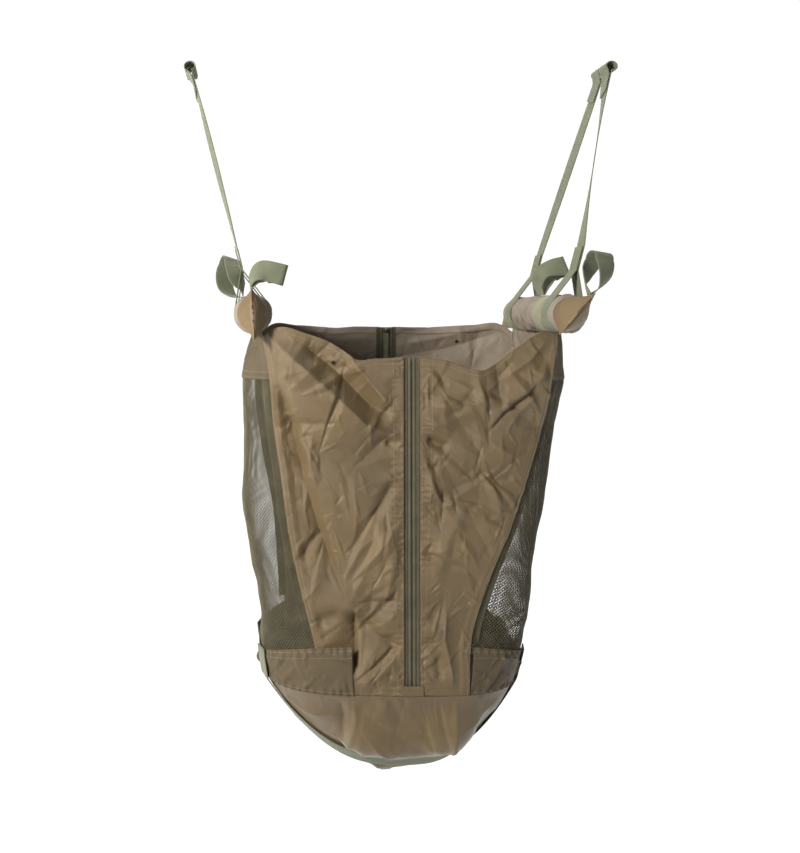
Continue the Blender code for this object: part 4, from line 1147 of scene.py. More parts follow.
def coil_look():
    look = Look("coil_nylon", (0.24, 0.24, 0.14), 0.35)
    look.tint(look.noise(look.object, 160, 3), 0.2)
    look.bump(look.noise(look.object, 1500, 2), 0.00003)
    return look.material


def foam_look():
    look = Look("cell_foam", (0.05, 0.05, 0.05), 0.95)
    look.tint(look.noise(look.object, 500, 3), 0.4)
    look.bump(look.noise(look.object, 900, 2), 0.0003)
    return look.material


# Near black for the drain holes: painted shade for the dark inside seen through them.
def painted_hole_shade_look():
    look = Look("hole_shade", (0.012, 0.009, 0.006), 0.8)
    look.tint(look.noise(look.object, 900, 2), 0.3)
    return look.material


NYLON = nylon_look("nylon_outside", (0.186, 0.131, 0.063), 0.34, 0.10, 0.0008)
# Near black for the burnt holes' plugs: the scorched rim's own dark, and painted shade for the dark inside
# seen through each hole.
SCORCH_AND_HOLE_SHADE = Look("scorched_rim_and_hole_shade", (0.022, 0.014, 0.010), 0.8).material
# The bands' nylon is the outer nylon darkened: painted shade for the top and lower bands at the sides.
SHADED_BAND_NYLON = nylon_look("nylon_band_shaded", (0.122, 0.090, 0.046), 0.60, 0.02, 0.0008)
INSIDE = nylon_look("nylon_inside", (0.270, 0.220, 0.165), 0.36, 0.3, 0.0006)
SLEEVE = nylon_look("nylon_sleeve", (0.31, 0.262, 0.205), 0.40, 0.2, 0.0006)
CAP_LOOK = nylon_look("nylon_cap", (0.205, 0.137, 0.062), 0.42, 0.12, 0.0008)
WEBBING = webbing_look("green_webbing", (0.200, 0.218, 0.135))
BINDING = webbing_look("dark_binding", (0.105, 0.092, 0.050))
PALE_WEBBING = webbing_look("pale_webbing", (0.36, 0.37, 0.225))
TAPE_LOOK = zip_look()
NET_LOOK = net_look()
THREAD = thread_look()
METAL = metal_look()
COIL_LOOK = coil_look()
PAINTED_HOLE_SHADE = painted_hole_shade_look()
FOAM_LOOK = foam_look()


# The bag


def ride_panel(piece, nodes=()):
    """Bakes the piece's place into its mesh and hides the model's parts it stands for."""
    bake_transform(piece)
    if nodes:
        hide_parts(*nodes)


def ride_wall(piece, nodes=()):
    """Bakes the piece's place into its mesh and hides the model's parts it stands for."""
    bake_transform(piece)
    if nodes:
        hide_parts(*nodes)


def make_hole(side, end, points, places):
    """A small hole burnt through an end panel, drawn as a dark plug in the cloth: the scorched rim's own
    dark, and painted shade for the dark inside seen through the hole.
    """
    offset, drop = BURNT_PLACES[side, end]
    away = np.hypot(places[0] - side * offset, places[1] - drop)
    row, column = np.unravel_index(np.argmin(away), away.shape)
    spots, facing = row_of(points, row=row, lift=0)
    bm = bmesh.new()
    bmesh.ops.create_cone(
        bm, cap_ends=True, segments=HOLE_SIDES, radius1=HOLE_RADIUS, radius2=HOLE_RADIUS,
        depth=BURNT_DEPTH, matrix=set_on(spots[column], facing[column]),
    )
    name = f"{END_WORDS[end]}_hole_{SIDE_WORDS[side]}"
    ride_panel(piece_from(name, mesh_of(bm, smooth=False), [SCORCH_AND_HOLE_SHADE]))


def make_end_panel(side, end):
    words = f"{END_WORDS[end]}_{{}}_{SIDE_WORDS[side]}"
    across, along = PANEL_STEPS[end]
    points, places = end_panel_points(side, end, across, along)
    panel = cloth_piece(words.format("end_cloth"), points, places, [NYLON, INSIDE])
    drop = places[1]
    hem_rows = int(round(HEM_HEIGHT / (drop[1, 0] - drop[0, 0])))
    brim, *brim_places = (grid[: hem_rows + 1] for grid in (points, *places))
    hem = cloth_piece(words.format("brim_hem"), brim - HEM_IN * faced_out(brim), brim_places, [NYLON, INSIDE])
    sewing = [row_of(points, row=hem_rows - HEM_SEWING_ROW)]
    for row in STITCH_ROWS:
        u = (row - ZIP_GAP / 2) / (panel_width(side, end, PANEL_SEWING_DROP) - ZIP_GAP / 2)
        sewing.append(row_of(points, column=int(round(u * across))))
    for k in EDGE_SEWING_COLUMNS:
        sewing.append(row_of(points, column=across - k))
    sewn = stitches(words.format("panel_stitches"), sewing)
    ride_panel(panel, [words.format("panel")])
    ride_panel(hem, [words.format("hem")])
    ride_panel(sewn)
    if (side, end) in BURNT_PLACES:
        make_hole(side, end, points, places)
    width = float(panel_width(side, end, TOP_BAND_DROP))


def make_net(side):
    word = SIDE_WORDS[side]
    top = TOP_BAND_DROP + GAP
    tall = SIDE_SEAM_DROP - top
    wide = float(panel_edge(side, FAR, NET_WIDTH_DROP) - panel_edge(side, NEAR, NET_WIDTH_DROP))
    count = int((wide + tall) / (NET_PITCH * 2**0.5)) + 1
    bm = bmesh.new()
    bmesh.ops.create_grid(bm, x_segments=2 * count, y_segments=2 * count, size=count * NET_PITCH)
    bmesh.ops.rotate(bm, cent=(0, 0, 0), matrix=Matrix.Rotation(pi / 4, 3, "Z"), verts=bm.verts[:])
    for way in ((1, 0, 0), (-1, 0, 0), (0, 1, 0), (0, -1, 0)):
        edge = (way[0] * wide / 2, way[1] * tall / 2, 0)
        geometry = bm.verts[:] + bm.edges[:] + bm.faces[:]
        bmesh.ops.bisect_plane(
            bm, geom=geometry, plane_co=edge, plane_no=way, clear_outer=True, dist=CUT_NEAR,
        )
    inset = bmesh.ops.inset_individual(bm, faces=bm.faces[:], thickness=NET_STRAND, depth=-NET_RELIEF)
    cords = set(inset["faces"])
    bmesh.ops.delete(bm, geom=[f for f in bm.faces if f not in cords], context="FACES_ONLY")
    flat = np.array([v.co for v in bm.verts])
    u, v = flat[:, 0] / wide + 0.5, 0.5 - flat[:, 1] / tall
    guess = END_SEAM_DROP
    edges = mix(panel_edge(side, NEAR, guess), panel_edge(side, FAR, guess), u)
    bottom = side_seam_drop(side, guess, edges) + NET_LAP
    drop = mix(top, bottom, v)
    length = wall_length(side, drop, u)
    relief = wall_relief(side, drop, length, u) * eased((bottom - drop) / WALL_FOOT_FADE)
    for vertex, point in zip(bm.verts, on_wall(side, drop, length, relief + flat[:, 2])):
        vertex.co = point
    mesh = mesh_of(bm)
    face_away(mesh, BAG_MIDDLE)
    net = thicken(piece_from(f"{word}_net", mesh, [NET_LOOK]), NET_DEPTH)
    ride_wall(net, [f"{word}_mesh_wall"])
    return net, (round(wide, 3), round(tall, 3))


def make_top_band(side):
    """The cloth band between the sleeve and the net, with ripples that grow towards the sleeve."""
    word = SIDE_WORDS[side]
    u, v = share_grid(*TOP_BAND_GRID)
    drop = mix(FOLD_CREST_RADIUS + GAP - TUCK, TOP_BAND_DROP + SEAM_LAP, v)
    length = wall_length(side, drop, u)
    points = on_wall(side, drop, length, wall_relief(side, drop, length, u))
    ripples = crumple(length, drop, 90 + side, TOP_BAND_FACETS, pi / 2)
    ripples = ripples + RIPPLE_HEIGHT * np.sin(length * 2 * pi / RIPPLE_PITCH) * (1 - v) ** 2
    ripples = ripples + SEAM_LIFT * v**4
    facing = facing_of(points)
    points = points + facing * np.sign((facing[..., 0] * side).sum()) * ripples[..., None]
    band = cloth_piece(f"{word}_top_cloth", points, (length, drop), [SHADED_BAND_NYLON, INSIDE])
    sewing = [row_of(points, row=len(points) - k) for k in TOP_BAND_SEWING_ROWS]
    sewn = stitches(f"{word}_band_stitches", sewing)
    ride_wall(band, [f"{word}_top_band"])
    ride_wall(sewn)
    return band, sewn


def make_binding(side, end):
    """The binding tape that hangs inside the seam of a net and an end panel."""
    word = SIDE_WORDS[side]
    u, v = share_grid(*BINDING_GRID)
    drop = mix(TOP_BAND_DROP, END_SEAM_DROP - BAND_OVERLAP, v)
    length = panel_edge(side, end, drop) - end * MESH_TAPE_WIDTH * (BINDING_SETBACK_SHARE + u)
    deep = -CLOTH_SPACE / 2 - TAPE / 2 - 2 * LAY_GAP + waves(length, drop, TAPE_WAVES, 7)
    points, places = on_wall(side, drop, length, deep), (drop, MESH_TAPE_WIDTH * u)
    tape = cloth_piece(f"{word}_{END_WORDS[end]}_binding", points, places, [BINDING], thickness=TAPE)
    ride_wall(tape, [f"{word}_{END_WORDS[end]}_mesh_tape"])
    return tape


def make_side(side):
    net, flat = make_net(side)
    band, sewn = make_top_band(side)
    tapes = [make_binding(side, end) for end in (NEAR, FAR)]


def band_relief(side, drop, length, top):
    """Puckers along the lower band's two seams and a few soft dents between them."""
    sway = waves(length, drop, LOW_BAND_PUCKER_SWAY, 120 + side)
    beat = np.sin(2 * pi * length / LOW_BAND_PUCKER_PITCH + sway)
    upper, lower = LOW_BAND_PUCKER_WIDTHS
    near_seams = bell(drop - top - BAND_OVERLAP, upper) + bell(SEAM_DROP - drop, lower)
    rows = LOW_BAND_PUCKER_HEIGHT * beat * near_seams
    dents = crumple(length, drop, 130 + side, LOW_BAND_FACETS)
    dents = dents + waves(length, drop, LOW_BAND_WAVES, 140 + side)
    inner = eased((drop - top) / LOW_BAND_FADE) * eased((SEAM_DROP - drop) / LOW_BAND_FADE)
    return np.maximum(rows + dents * inner, -LOW_BAND_DEEPEST)


def make_lower_band(side):
    word = SIDE_WORDS[side]
    total = float(ring_length(side, SEAM_DROP))
    u, v = share_grid(*LOW_BAND_GRID)
    length = mix(BAND_REACH, total - BAND_REACH, u)
    top = side_seam_drop(side, SEAM_DROP, length) - BAND_OVERLAP
    drop = mix(top, SEAM_DROP, v)
    scale = ring_length(side, drop) / total
    points = on_wall(side, drop, length * scale, CLOTH_SPACE + LAY_GAP + band_relief(side, drop, length, top))
    band = cloth_piece(f"{word}_lower_cloth", points, (length, drop), [SHADED_BAND_NYLON])
    sewn = stitches(f"{word}_lower_stitches", [row_of(points, row=k) for k in LOW_BAND_SEWING_ROWS])
    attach(band, "bag")
    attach(sewn, "bag")
    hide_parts(f"{word}_lower_band")


def belly_relief(x, y, share):
    """The bottom's long folds, drawn together towards the near left, and its crumpled cloth."""
    folds = 0
    start = np.array(BELLY_FOLD_START)
    for angle, height, left, right in BELLY_FOLDS:
        way = np.array((cos(radians(angle)), sin(radians(angle))))
        points = [start] + [start + reach * way for reach in BELLY_FOLD_REACHES]
        folds = folds + fold(x, y, points, height / MM_PER_M, left / MM_PER_M, right / MM_PER_M, 1)
    for points, height, left, right in CORNER_FOLDS:
        folds = folds + fold(x, y, points, height, left, right, 1)
    loose = crumple(x, y, 150, BELLY_FACETS) + waves(x, y, BELLY_WAVES, 160)
    fine = crumple(x, y, 170, BELLY_FINE_FACETS)
    bulge = GIRTH_BULGE * bell(y + GIRTH_SETOFF + GIRTH_BULGE_SETOFF, GIRTH_BULGE_WIDTH)
    for reach in (GIRTH_BULGE_REACH + x, GIRTH_BULGE_REACH - x):
        bulge = bulge * eased(reach / GIRTH_BULGE_FADE)
    inner = 1 - share
    total = (folds + loose) * eased(inner / BELLY_FADE_SHARE) + fine * eased(inner / BELLY_FINE_FADE_SHARE)
    total = total + bulge * eased(inner / GIRTH_BULGE_FADE_SHARE)
    free = eased((np.abs(np.abs(y) - GIRTH_SETOFF) - WEB_WIDTH / 2) / GIRTH_FADE)
    return mix(UNDER_GIRTH * eased(inner / UNDER_GIRTH_FADE_SHARE), total, free)


def make_drain_holes(points):
    """Dark rounds of painted shade on the bottom's cloth, standing for the dark inside seen through the drain
    holes, at the nearest of its points to each drain's place.
    """
    half_widths = {True: float(level(RIGHT, SEAM_DROP)[0]), False: float(level(LEFT, SEAM_DROP)[0])}
    half_depth = float(level(LEFT, SEAM_DROP)[1])
    bm = bmesh.new()
    for x_share, y_share in DRAIN_PLACE_SHARES:
        x, y = x_share * half_widths[x_share > 0], y_share * half_depth
        near = np.argmin((points[..., 0] - x) ** 2 + (points[..., 1] - y) ** 2)
        out = belly_facing(x, y)
        place = set_on(Vector(points.reshape(-1, 3)[near]) + out * THIN_CLOTH, out)
        bmesh.ops.create_circle(bm, cap_ends=True, segments=HOLE_SIDES, radius=HOLE_RADIUS, matrix=place)
    holes = piece_from("drain_holes", mesh_of(bm, smooth=False), [PAINTED_HOLE_SHADE])
    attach(holes, "bag")
    return holes


def make_bottom():
    u, v = np.meshgrid(*(np.linspace(-1, 1, count) for count in BOTTOM_GRID))
    p, q = u * np.sqrt(1 - v * v / 2), v * np.sqrt(1 - u * u / 2)
    share = np.sin(np.minimum(np.hypot(p, q), 1) * pi / 2)
    angle = np.arctan2(q, p)
    reach = share / in_belly(np.cos(angle), np.sin(angle))
    x, y = reach * np.cos(angle), reach * np.sin(angle)
    points = np.stack([x, y, -BAR_DROP - belly_drop(share)], axis=-1)
    facing = facing_of(points)
    inward = (facing * (points - np.array(BELLY_MIDDLE))).sum(axis=2, keepdims=True) < 0
    points = points + facing * np.where(inward, -1, 1) * belly_relief(x, y, share)[..., None]
    mesh = laid_mesh(points, (x, y))
    face_away(mesh, BELLY_MIDDLE)
    bottom = thicken(piece_from("bottom_cloth", mesh, [NYLON, INSIDE]), CLOTH, 1)
    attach(bottom, "bag")
    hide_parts("bottom_panel")
    holes = make_drain_holes(points)
    for side in (LEFT, RIGHT):
        make_bottom_seam(side)


def make_bottom_seam(side):
    """The seam allowance that stands up inside the bag above its bottom."""
    u, v = share_grid(*BOTTOM_SEAM_GRID)
    drop = mix(SEAM_DROP - SEAM_ALLOWANCE, SEAM_DROP, v)
    length = ring_length(side, drop) * u
    points = on_wall(side, drop, length, -SEAM_STRIP_IN)
    points[..., 2] -= LAY_GAP * 3 * v
    name = f"{SIDE_WORDS[side]}_bottom_seam"
    strip = cloth_piece(name, points, (length, drop), [NYLON, INSIDE], thickness=THIN_CLOTH)
    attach(strip, "bag")


# Webbing


def strip_mesh(route, ways, widths, closed):
    """A flat strap along a route, with its own length and width in its UV map."""
    count = len(route)
    rows = []
    walked = 0.0
    for i in range(count + (1 if closed else 0)):
        k = i % count
        ahead = route[(k + 1) % count] if closed else route[min(k + 1, count - 1)]
        behind = route[k - 1] if closed else route[max(k - 1, 0)]
        run = (ahead - behind).normalized()
        way = Vector(ways[k])
        way = (way - way.dot(run) * run).normalized()
        if i:
            walked += (route[k] - route[k - 1]).length
        rows.append([
            (*(route[k] + way * widths[k] * s), walked, s * widths[k])
            for s in np.linspace(-0.5, 0.5, WEB_COLUMNS)
        ])
    table = np.array(rows)
    return laid_mesh(table[..., :3], (table[..., 3], table[..., 4]), wrap=closed)


def strap_piece(name, route, ways, widths, look, body, node, closed=False):
    strap = thicken(piece_from(name, strip_mesh(route, ways, widths, closed), [look]), WEB_SHEET)
    edge = strap.modifiers.new("selvedge", "BEVEL")
    edge.width = WEB_SHEET * SELVEDGE_SHARE
    edge.segments = 2
    edge.angle_limit = SELVEDGE_ANGLE
    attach(strap, body)
    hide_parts(node)
    return strap


def bar_axis(side):
    return Vector((side * HALF_SPACING, 0, -BAR_DROP))


def seat_middle(wanted):
    """The place along Y of a webbing seat's middle."""
    at = -HALF_BAR
    for kind, length, _ in SLEEVE_LAYOUT:
        if kind == wanted:
            return at + length / 2
        at += length
    return at


def strap_line(side, end):
    """A hang strap's route and the ways its width lies."""
    up = Vector((side * EYE_SPREAD, 0, BAR_DROP))
    reach = up.length - EYE_RADIUS
    up.normalize()
    across = Vector((up.z, 0, -up.x))
    half_gap = (WEB_THICKNESS + STRAP_LAYER_GAP) / 2
    ring = SEAT_RADIUS + STRAP_SLACK + WEB_THICKNESS / 2
    leave = acos(ring / LAP_LOW)
    seat_y = seat_middle(f"{END_WORDS[end]}_strap")
    eye_y = end * EYE_SETOFF
    leg_low, leg_high = LAP_HIGH, reach - EYE_RADIUS
    eye_low, eye_wide = reach - EYE_RADIUS * 2, EYE_RADIUS + half_gap
    flat = [(lift, -half_gap) for lift in np.linspace(LAP_HIGH, LAP_LOW, LAP_STEPS + 1)]
    flat += [(ring * cos(a), -ring * sin(a)) for a in np.linspace(leave, 2 * pi - leave, TURN_STEPS + 1)]
    flat += [(lift, half_gap) for lift in np.linspace(LAP_LOW, LAP_HIGH, LAP_STEPS + 1)]
    flat += [(lift, half_gap) for lift in np.linspace(leg_low, leg_high, LEG_STEPS + 1)[1:]]
    for angle in np.linspace(-EYE_OPENING, pi + EYE_OPENING, EYE_STEPS + 1)[1:-1]:
        flat.append((leg_high + EYE_RADIUS * (1 + sin(angle)), eye_wide * cos(angle)))
    flat += [(lift, -half_gap) for lift in np.linspace(eye_low, eye_low - TAIL_LENGTH, TAIL_STEPS + 1)]
    route, ways = [], []
    for lift, shift in flat:
        share = min(max(float((lift - leg_low) / (leg_high - leg_low)), 0), 1)
        y = mix(seat_y, eye_y, share)
        route.append(bar_axis(side) + up * float(lift) + across * float(shift) + Vector((0, y, 0)))
        turn = Matrix.Rotation(STRAP_TWIST[side, end] * sin(pi * share), 3, up)
        ways.append(turn @ Vector((0, 1, 0)))
    return route, ways, up, across, seat_y


def box_stitch(middle, along, out, lift):
    """A sewn box with a cross in it, as runs for stitches()."""
    corners = {
        (a, b): middle + along * a * BOX_HALF_LENGTH + Vector((0, b * BOX_HALF_WIDTH, 0)) + out * lift
        for a in (-1, 1) for b in (-1, 1)
    }
    path = [(-1, -1), (1, -1), (1, 1), (-1, 1), (-1, -1), (1, 1)]
    runs = []
    for start, end in list(zip(path, path[1:])) + [((-1, 1), (1, -1))]:
        points = np.array([corners[start].lerp(corners[end], t) for t in np.linspace(0, 1, BOX_POINTS)])
        runs.append((points, np.tile(np.array(out), (BOX_POINTS, 1))))
    return runs


def make_hang_strap(side, end):
    words = f"{SIDE_WORDS[side]}_{END_WORDS[end]}"
    route, ways, up, across, seat_y = strap_line(side, end)
    body = f"{SIDE_WORDS[side]}_hanger"
    widths = [WEB_WIDTH] * len(route)
    strap_piece(f"{words}_hang_webbing", route, ways, widths, WEBBING, body, f"{words}_hang_strap")
    middle = bar_axis(side) + Vector((0, seat_y, 0)) + up * mix(LAP_LOW, LAP_HIGH, 0.5)
    lift = WEB_THICKNESS + STRAP_LAYER_GAP / 2 + BOX_LIFT
    runs = []
    for face in (1, -1):
        runs += box_stitch(middle, up, across * face, lift)
    sewn = stitches(f"{words}_lap_stitches", runs)
    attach(sewn, body)


def cap_section(share):
    """Half the width and half the height of a pillow end, from the round sleeve to its flat seam."""
    half_width = mix(CAP_RADIUS, CAP_SEAM_THICKNESS / 2, share**CAP_TAPER_POWER)
    half_height = mix(CAP_RADIUS, CAP_SEAM_LENGTH / 2, eased(share))
    return half_width, half_height


def loop_root(side, place):
    stand = GAP + LOOP_ROOT_OPENING + WEB_THICKNESS / 2
    if place == END:
        roll = CAP_ROLL[side]
        nearest = LOOP_SETBACK + LOOP_ROOT_WIDTH[END] / 2
        rise = float(cap_section(nearest / CAP_DEPTH)[1]) + stand
        y = -HALF_BAR - LOOP_SETBACK
    else:
        roll, rise, y = MIDDLE_LOOP_ROLL[side], FOLD_CREST_RADIUS + stand, 0
    return bar_axis(side) + Vector((rise * sin(roll), y, rise * cos(roll)))


def make_loop(side, place):
    """A folded loop of webbing: out along its route on one face, round the tip and back on the other."""
    steps = 10
    route = LOOP_ROUTE_SHARES[side, place]
    spine = smooth_route([(LOOP_REACH * a, LOOP_REACH * y, LOOP_REACH * z) for a, z, y in route], steps)
    ways = smooth_route([(a, y, z) for a, z, y in LOOP_WIDTH_WAYS[side, place]], steps)
    openings = [max(share * LOOP_REACH, LOOP_ROOT_OPENING) for share in LOOP_OPENING_SHARES[side, place]]
    halves = through(range(len(openings)), openings, np.arange(len(spine)) / steps)
    count = len(spine)
    out, back = [], []
    for i, spot in enumerate(spine):
        run = (spine[min(i + 1, count - 1)] - spine[max(i - 1, 0)]).normalized()
        way = (ways[i] - ways[i].dot(run) * run).normalized()
        face = run.cross(way)
        width = float(mix(LOOP_ROOT_WIDTH[place], WEB_WIDTH, eased(i / (2 * steps))))
        out.append((spot + face * halves[i], way, width))
        back.append((spot - face * halves[i], way, width))
    tip = round_turn(spine[-1], run, face * halves[-1], way, WEB_WIDTH)
    start, first_way, root_width = out[0]
    middle = (start + back[0][0]) / 2
    first_run = (spine[1] - spine[0]).normalized()
    root = round_turn(middle, -first_run, middle - start, first_way, root_width)
    loop = out + tip + back[::-1] + root
    base = loop_root(side, place)
    points, faces, widths = zip(*loop)
    words = f"{SIDE_WORDS[side]}_{place}_loop"
    strap_piece(
        f"{words}_webbing", [p + base for p in points], faces, widths, WEBBING, words, words, closed=True
    )


def round_turn(middle, run, reach, way, width):
    """The round turn at either end of a folded loop."""
    steps = 14
    turn = []
    for i in range(1, steps):
        angle = pi * i / steps
        turn.append((middle + run * reach.length * sin(angle) + reach * cos(angle), way, width))
    return turn


def wall_reach(side, drop, y):
    half_width, half_depth, power = level(side, drop)
    return float(half_width * (1 - (abs(y) / half_depth) ** power) ** (1 / power))


def make_girth(end):
    over_band = 2 * CLOTH_SPACE + 2 * LAY_GAP + WEB_THICKNESS / 2
    over_belly = 2 * CLOTH_SPACE + LAY_GAP
    y = end * GIRTH_SETOFF
    route, ways = [], []
    steps = 90
    for i in range(steps + 1):
        angle = pi * i / steps
        x = wall_reach(RIGHT if cos(angle) > 0 else LEFT, SEAM_DROP, y) * cos(angle)
        facing = belly_facing(x, y)
        spot = Vector((x, y, -BAR_DROP - float(belly_drop(in_belly(x, y)))))
        route.append(spot + over_belly * facing)
        ways.append(facing.cross(Vector((0, 1, 0)).cross(facing)))
    for side, at_start in ((RIGHT, True), (LEFT, False)):
        for share in GIRTH_RISE_SHARES:
            drop = mix(GIRTH_TOP_DROP, SEAM_DROP, share)
            nearer, farther = [wall_reach(side, drop, y + move) for move in (-WEB_WIDTH / 2, WEB_WIDTH / 2)]
            way = Vector((side * (farther - nearer), WEB_WIDTH, 0))
            x = side * (wall_reach(side, drop, y) + over_band * way.length / WEB_WIDTH)
            route.insert(0 if at_start else len(route), Vector((x, y, -BAR_DROP - drop)))
            ways.insert(0 if at_start else len(ways), way)
    word = END_WORDS[end]
    widths = [WEB_WIDTH] * len(route)
    strap_piece(f"{word}_girth_webbing", route, ways, widths, WEBBING, "bag", f"{word}_girth")


# The zips


def zip_frame(end):
    """The zip line's own frame: Z up the zip, +Y into the bag, and its length."""
    top_drop = float(brim_drop(LEFT, end, 0)) + ZIP_TOP_CLEARANCE
    low_y, top_y = float(level(LEFT, ZIP_END_DROP)[1]), float(level(LEFT, top_drop)[1])
    length = hypot(ZIP_END_DROP - top_drop, low_y - top_y)
    lean = atan2(low_y - top_y, ZIP_END_DROP - top_drop)
    turn = Matrix.Rotation(0 if end == NEAR else pi, 4, "Z") @ Matrix.Rotation(-lean, 4, "X")
    return Matrix.Translation((0, end * low_y, -BAR_DROP - ZIP_END_DROP)) @ turn, length


def tape_bulge(across):
    """How far a zip tape's outer face stands out: over the coil, and at its woven rib."""
    return sum(height * bell(across - place, width) for height, place, width in TAPE_RIDGES)


def make_zip(end):
    word = END_WORDS[end]
    place, length = zip_frame(end)
    tape_depth = CLOTH_SPACE / 2 + ZIP_TAPE_GAP + TAPE / 2
    for side in (LEFT, RIGHT):
        own = side if end == NEAR else -side
        u, v = share_grid(*ZIP_TAPE_GRID)
        across = mix(GAP, ZIP_TAPE_REACH, u)
        up = (length + ZIP_TAPE_RISE) * v
        flat = np.stack([own * across, tape_depth - tape_bulge(across), up, np.ones_like(up)], axis=-1)
        points = (flat @ np.array(place).T)[..., :3]
        name = f"{word}_zip_cloth_{SIDE_WORDS[side]}"
        tape = cloth_piece(name, points, (up, across), [TAPE_LOOK], thickness=TAPE * 0.5)
        column = int(round(TAPE_SEWING / ZIP_TAPE_REACH * (ZIP_TAPE_GRID[0] - 1)))
        sewn = stitches(f"{word}_zip_stitches_{SIDE_WORDS[side]}", [row_of(points, column=column)])
        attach(tape, "bag")
        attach(sewn, "bag")
        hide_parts(f"{word}_zip_tape_{SIDE_WORDS[side]}")
    make_coil(word, place, length, tape_depth)
    make_patch(end)


def make_patch(end):
    """The cloth that closes the gap between the panel's halves below the zip."""
    u, v = share_grid(*PATCH_GRID, low=-1)
    offset = u * (ZIP_GAP / 2 + PATCH_LAP)
    drop = mix(ZIP_END_DROP - PATCH_RISE, SEAM_DROP, v)
    reach = np.abs(offset)
    length = reach if end == NEAR else ring_length(LEFT, drop) - reach
    points = on_wall(LEFT, drop, length, CLOTH_SPACE + waves(offset, drop, PATCH_WAVES, 410))
    points[..., 0] = offset
    patch = cloth_piece(f"{END_WORDS[end]}_zip_patch", points, (offset, drop), [NYLON], thickness=CLOTH * 0.7)
    sewn = stitches(f"{END_WORDS[end]}_patch_stitches", [row_of(points, row=2)])
    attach(patch, "bag")
    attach(sewn, "bag")


def make_coil(word, place, length, tape_depth):
    """Both halves of the coil: bent teeth that mesh over the zip's middle, and the cords they are sewn on."""
    depth = tape_depth + TAPE / 2 + GAP + COIL_THICKNESS / 2
    low, high = STOP_LENGTH + GAP, length - STOP_LENGTH - GAP
    aside, apart = TOOTH_PLACE_SHARES
    wide, thick, tall = TOOTH_SIZE_SHARES
    size = Matrix.Diagonal((COIL_WIDTH * wide, COIL_THICKNESS * thick, COIL_PITCH * tall, 1))
    bm = bmesh.new()
    for k in range(2 * int((high - low) / COIL_PITCH)):
        side = LEFT if k % 2 else RIGHT
        z = low + (k + 1) * COIL_PITCH / 2
        for face in (-1, 1):
            spot = (side * COIL_WIDTH * aside, depth + face * COIL_THICKNESS * apart, z)
            stamp(bm, TOOTH_SHAPE, place @ Matrix.Translation(spot) @ size)
    radius = COIL_THICKNESS * COIL_CORD_RADIUS_SHARE
    for side in (LEFT, RIGHT):
        spot = Matrix.Translation((side * COIL_WIDTH * COIL_CORD_PLACE_SHARE, depth, (low + high) / 2))
        bmesh.ops.create_cone(
            bm, cap_ends=True, segments=COIL_CORD_SIDES, radius1=radius, radius2=radius, depth=high - low,
            matrix=place @ spot,
        )
    mesh = mesh_of(bm)
    mesh.set_sharp_from_angle(angle=COIL_EDGE_ANGLE)
    coil = piece_from(f"{word}_coil_teeth", mesh, [COIL_LOOK])
    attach(coil, "bag")
    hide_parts(f"{word}_zip_coil")


# The bars


def sleeve_radius(y, angle, side):
    """The ruched sleeve: tight under the webbing, and rounded folds of uneven width between."""
    at = -HALF_BAR
    radius = np.full(np.shape(y), SLEEVE_SEAT)
    seed = 200 + side
    round_bar = angle * SLEEVE_GIRTH
    for _, length, folds in SLEEVE_LAYOUT:
        if folds:
            share = (y - at) / length
            phase = (share + waves(round_bar, y, SLEEVE_FOLD_SWAY, seed) / folds) * folds
            wave = np.abs(np.sin(pi * phase)) ** SLEEVE_FOLD_POWER
            step, around = np.floor(phase) * SLEEVE_BOLD_STEP, angle * SLEEVE_BOLD_TURN
            chance = cloud(step, around, SLEEVE_BOLD_SIZE, seed + 5)
            bold = mix(SLEEVE_LEAST_BOLD, 1.0, 0.5 + 0.5 * chance)
            crest = mix(SLEEVE_LOW_CREST, FOLD_CREST_RADIUS, bold)
            within = eased(share * length / SLEEVE_FADE) * eased((1 - share) * length / SLEEVE_FADE)
            within = np.where((share > 0) & (share < 1), within, 0)
            folded = mix(SLEEVE_SEAT, mix(SLEEVE_TROUGH, crest, wave), within)
            radius = np.where(within > 0, folded, radius)
        at += length
    radius = radius + SLEEVE_CREASE_HEIGHT * creases(round_bar, y, SLEEVE_CREASE_SIZE, seed + 9, 5)
    inwards = np.clip((HALF_BAR - np.abs(y)) / SLEEVE_END_FADE, 0, 1)
    return np.minimum(radius, mix(SLEEVE_END_NECK, 2 * SEAT_RADIUS, inwards))


def make_bar(side):
    word = SIDE_WORDS[side]
    axis = bar_axis(side)
    body = f"{word}_side"
    u, v = share_grid(*SLEEVE_GRID)
    angle = 2 * pi * u
    y = mix(-HALF_BAR, HALF_BAR, v)
    radius = sleeve_radius(y, np.abs((u + 0.5) % 1 - 0.5) * 2 * pi, side)
    points = np.stack([axis.x + radius * np.sin(angle), y, axis.z + radius * np.cos(angle)], axis=-1)
    mesh = laid_mesh(points, (angle * SLEEVE_GIRTH, y), wrap=True)
    face_away(mesh, axis)
    sleeve = thicken(piece_from(f"{word}_sleeve_cloth", mesh, [SLEEVE]), THIN_CLOTH, offset=-1)
    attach(sleeve, body)
    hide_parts(f"{word}_sleeve")
    make_sleeve_band(side, axis, body)
    for end in (NEAR, FAR):
        make_cap(side, end, axis, body)


def make_sleeve_band(side, axis, body):
    word = SIDE_WORDS[side]
    steps = 72
    band_y = seat_middle("band")
    ring = SEAT_RADIUS + 2 * GAP + WEB_THICKNESS / 2
    route = []
    for i in range(steps):
        angle = 2 * pi * i / steps
        route.append(axis + Vector((ring * sin(angle), band_y, ring * cos(angle))))
    strap_piece(
        f"{word}_band_webbing", route, [(0, 1, 0)] * steps, [WEB_WIDTH] * steps, PALE_WEBBING, body,
        f"{word}_sleeve_band", closed=True,
    )


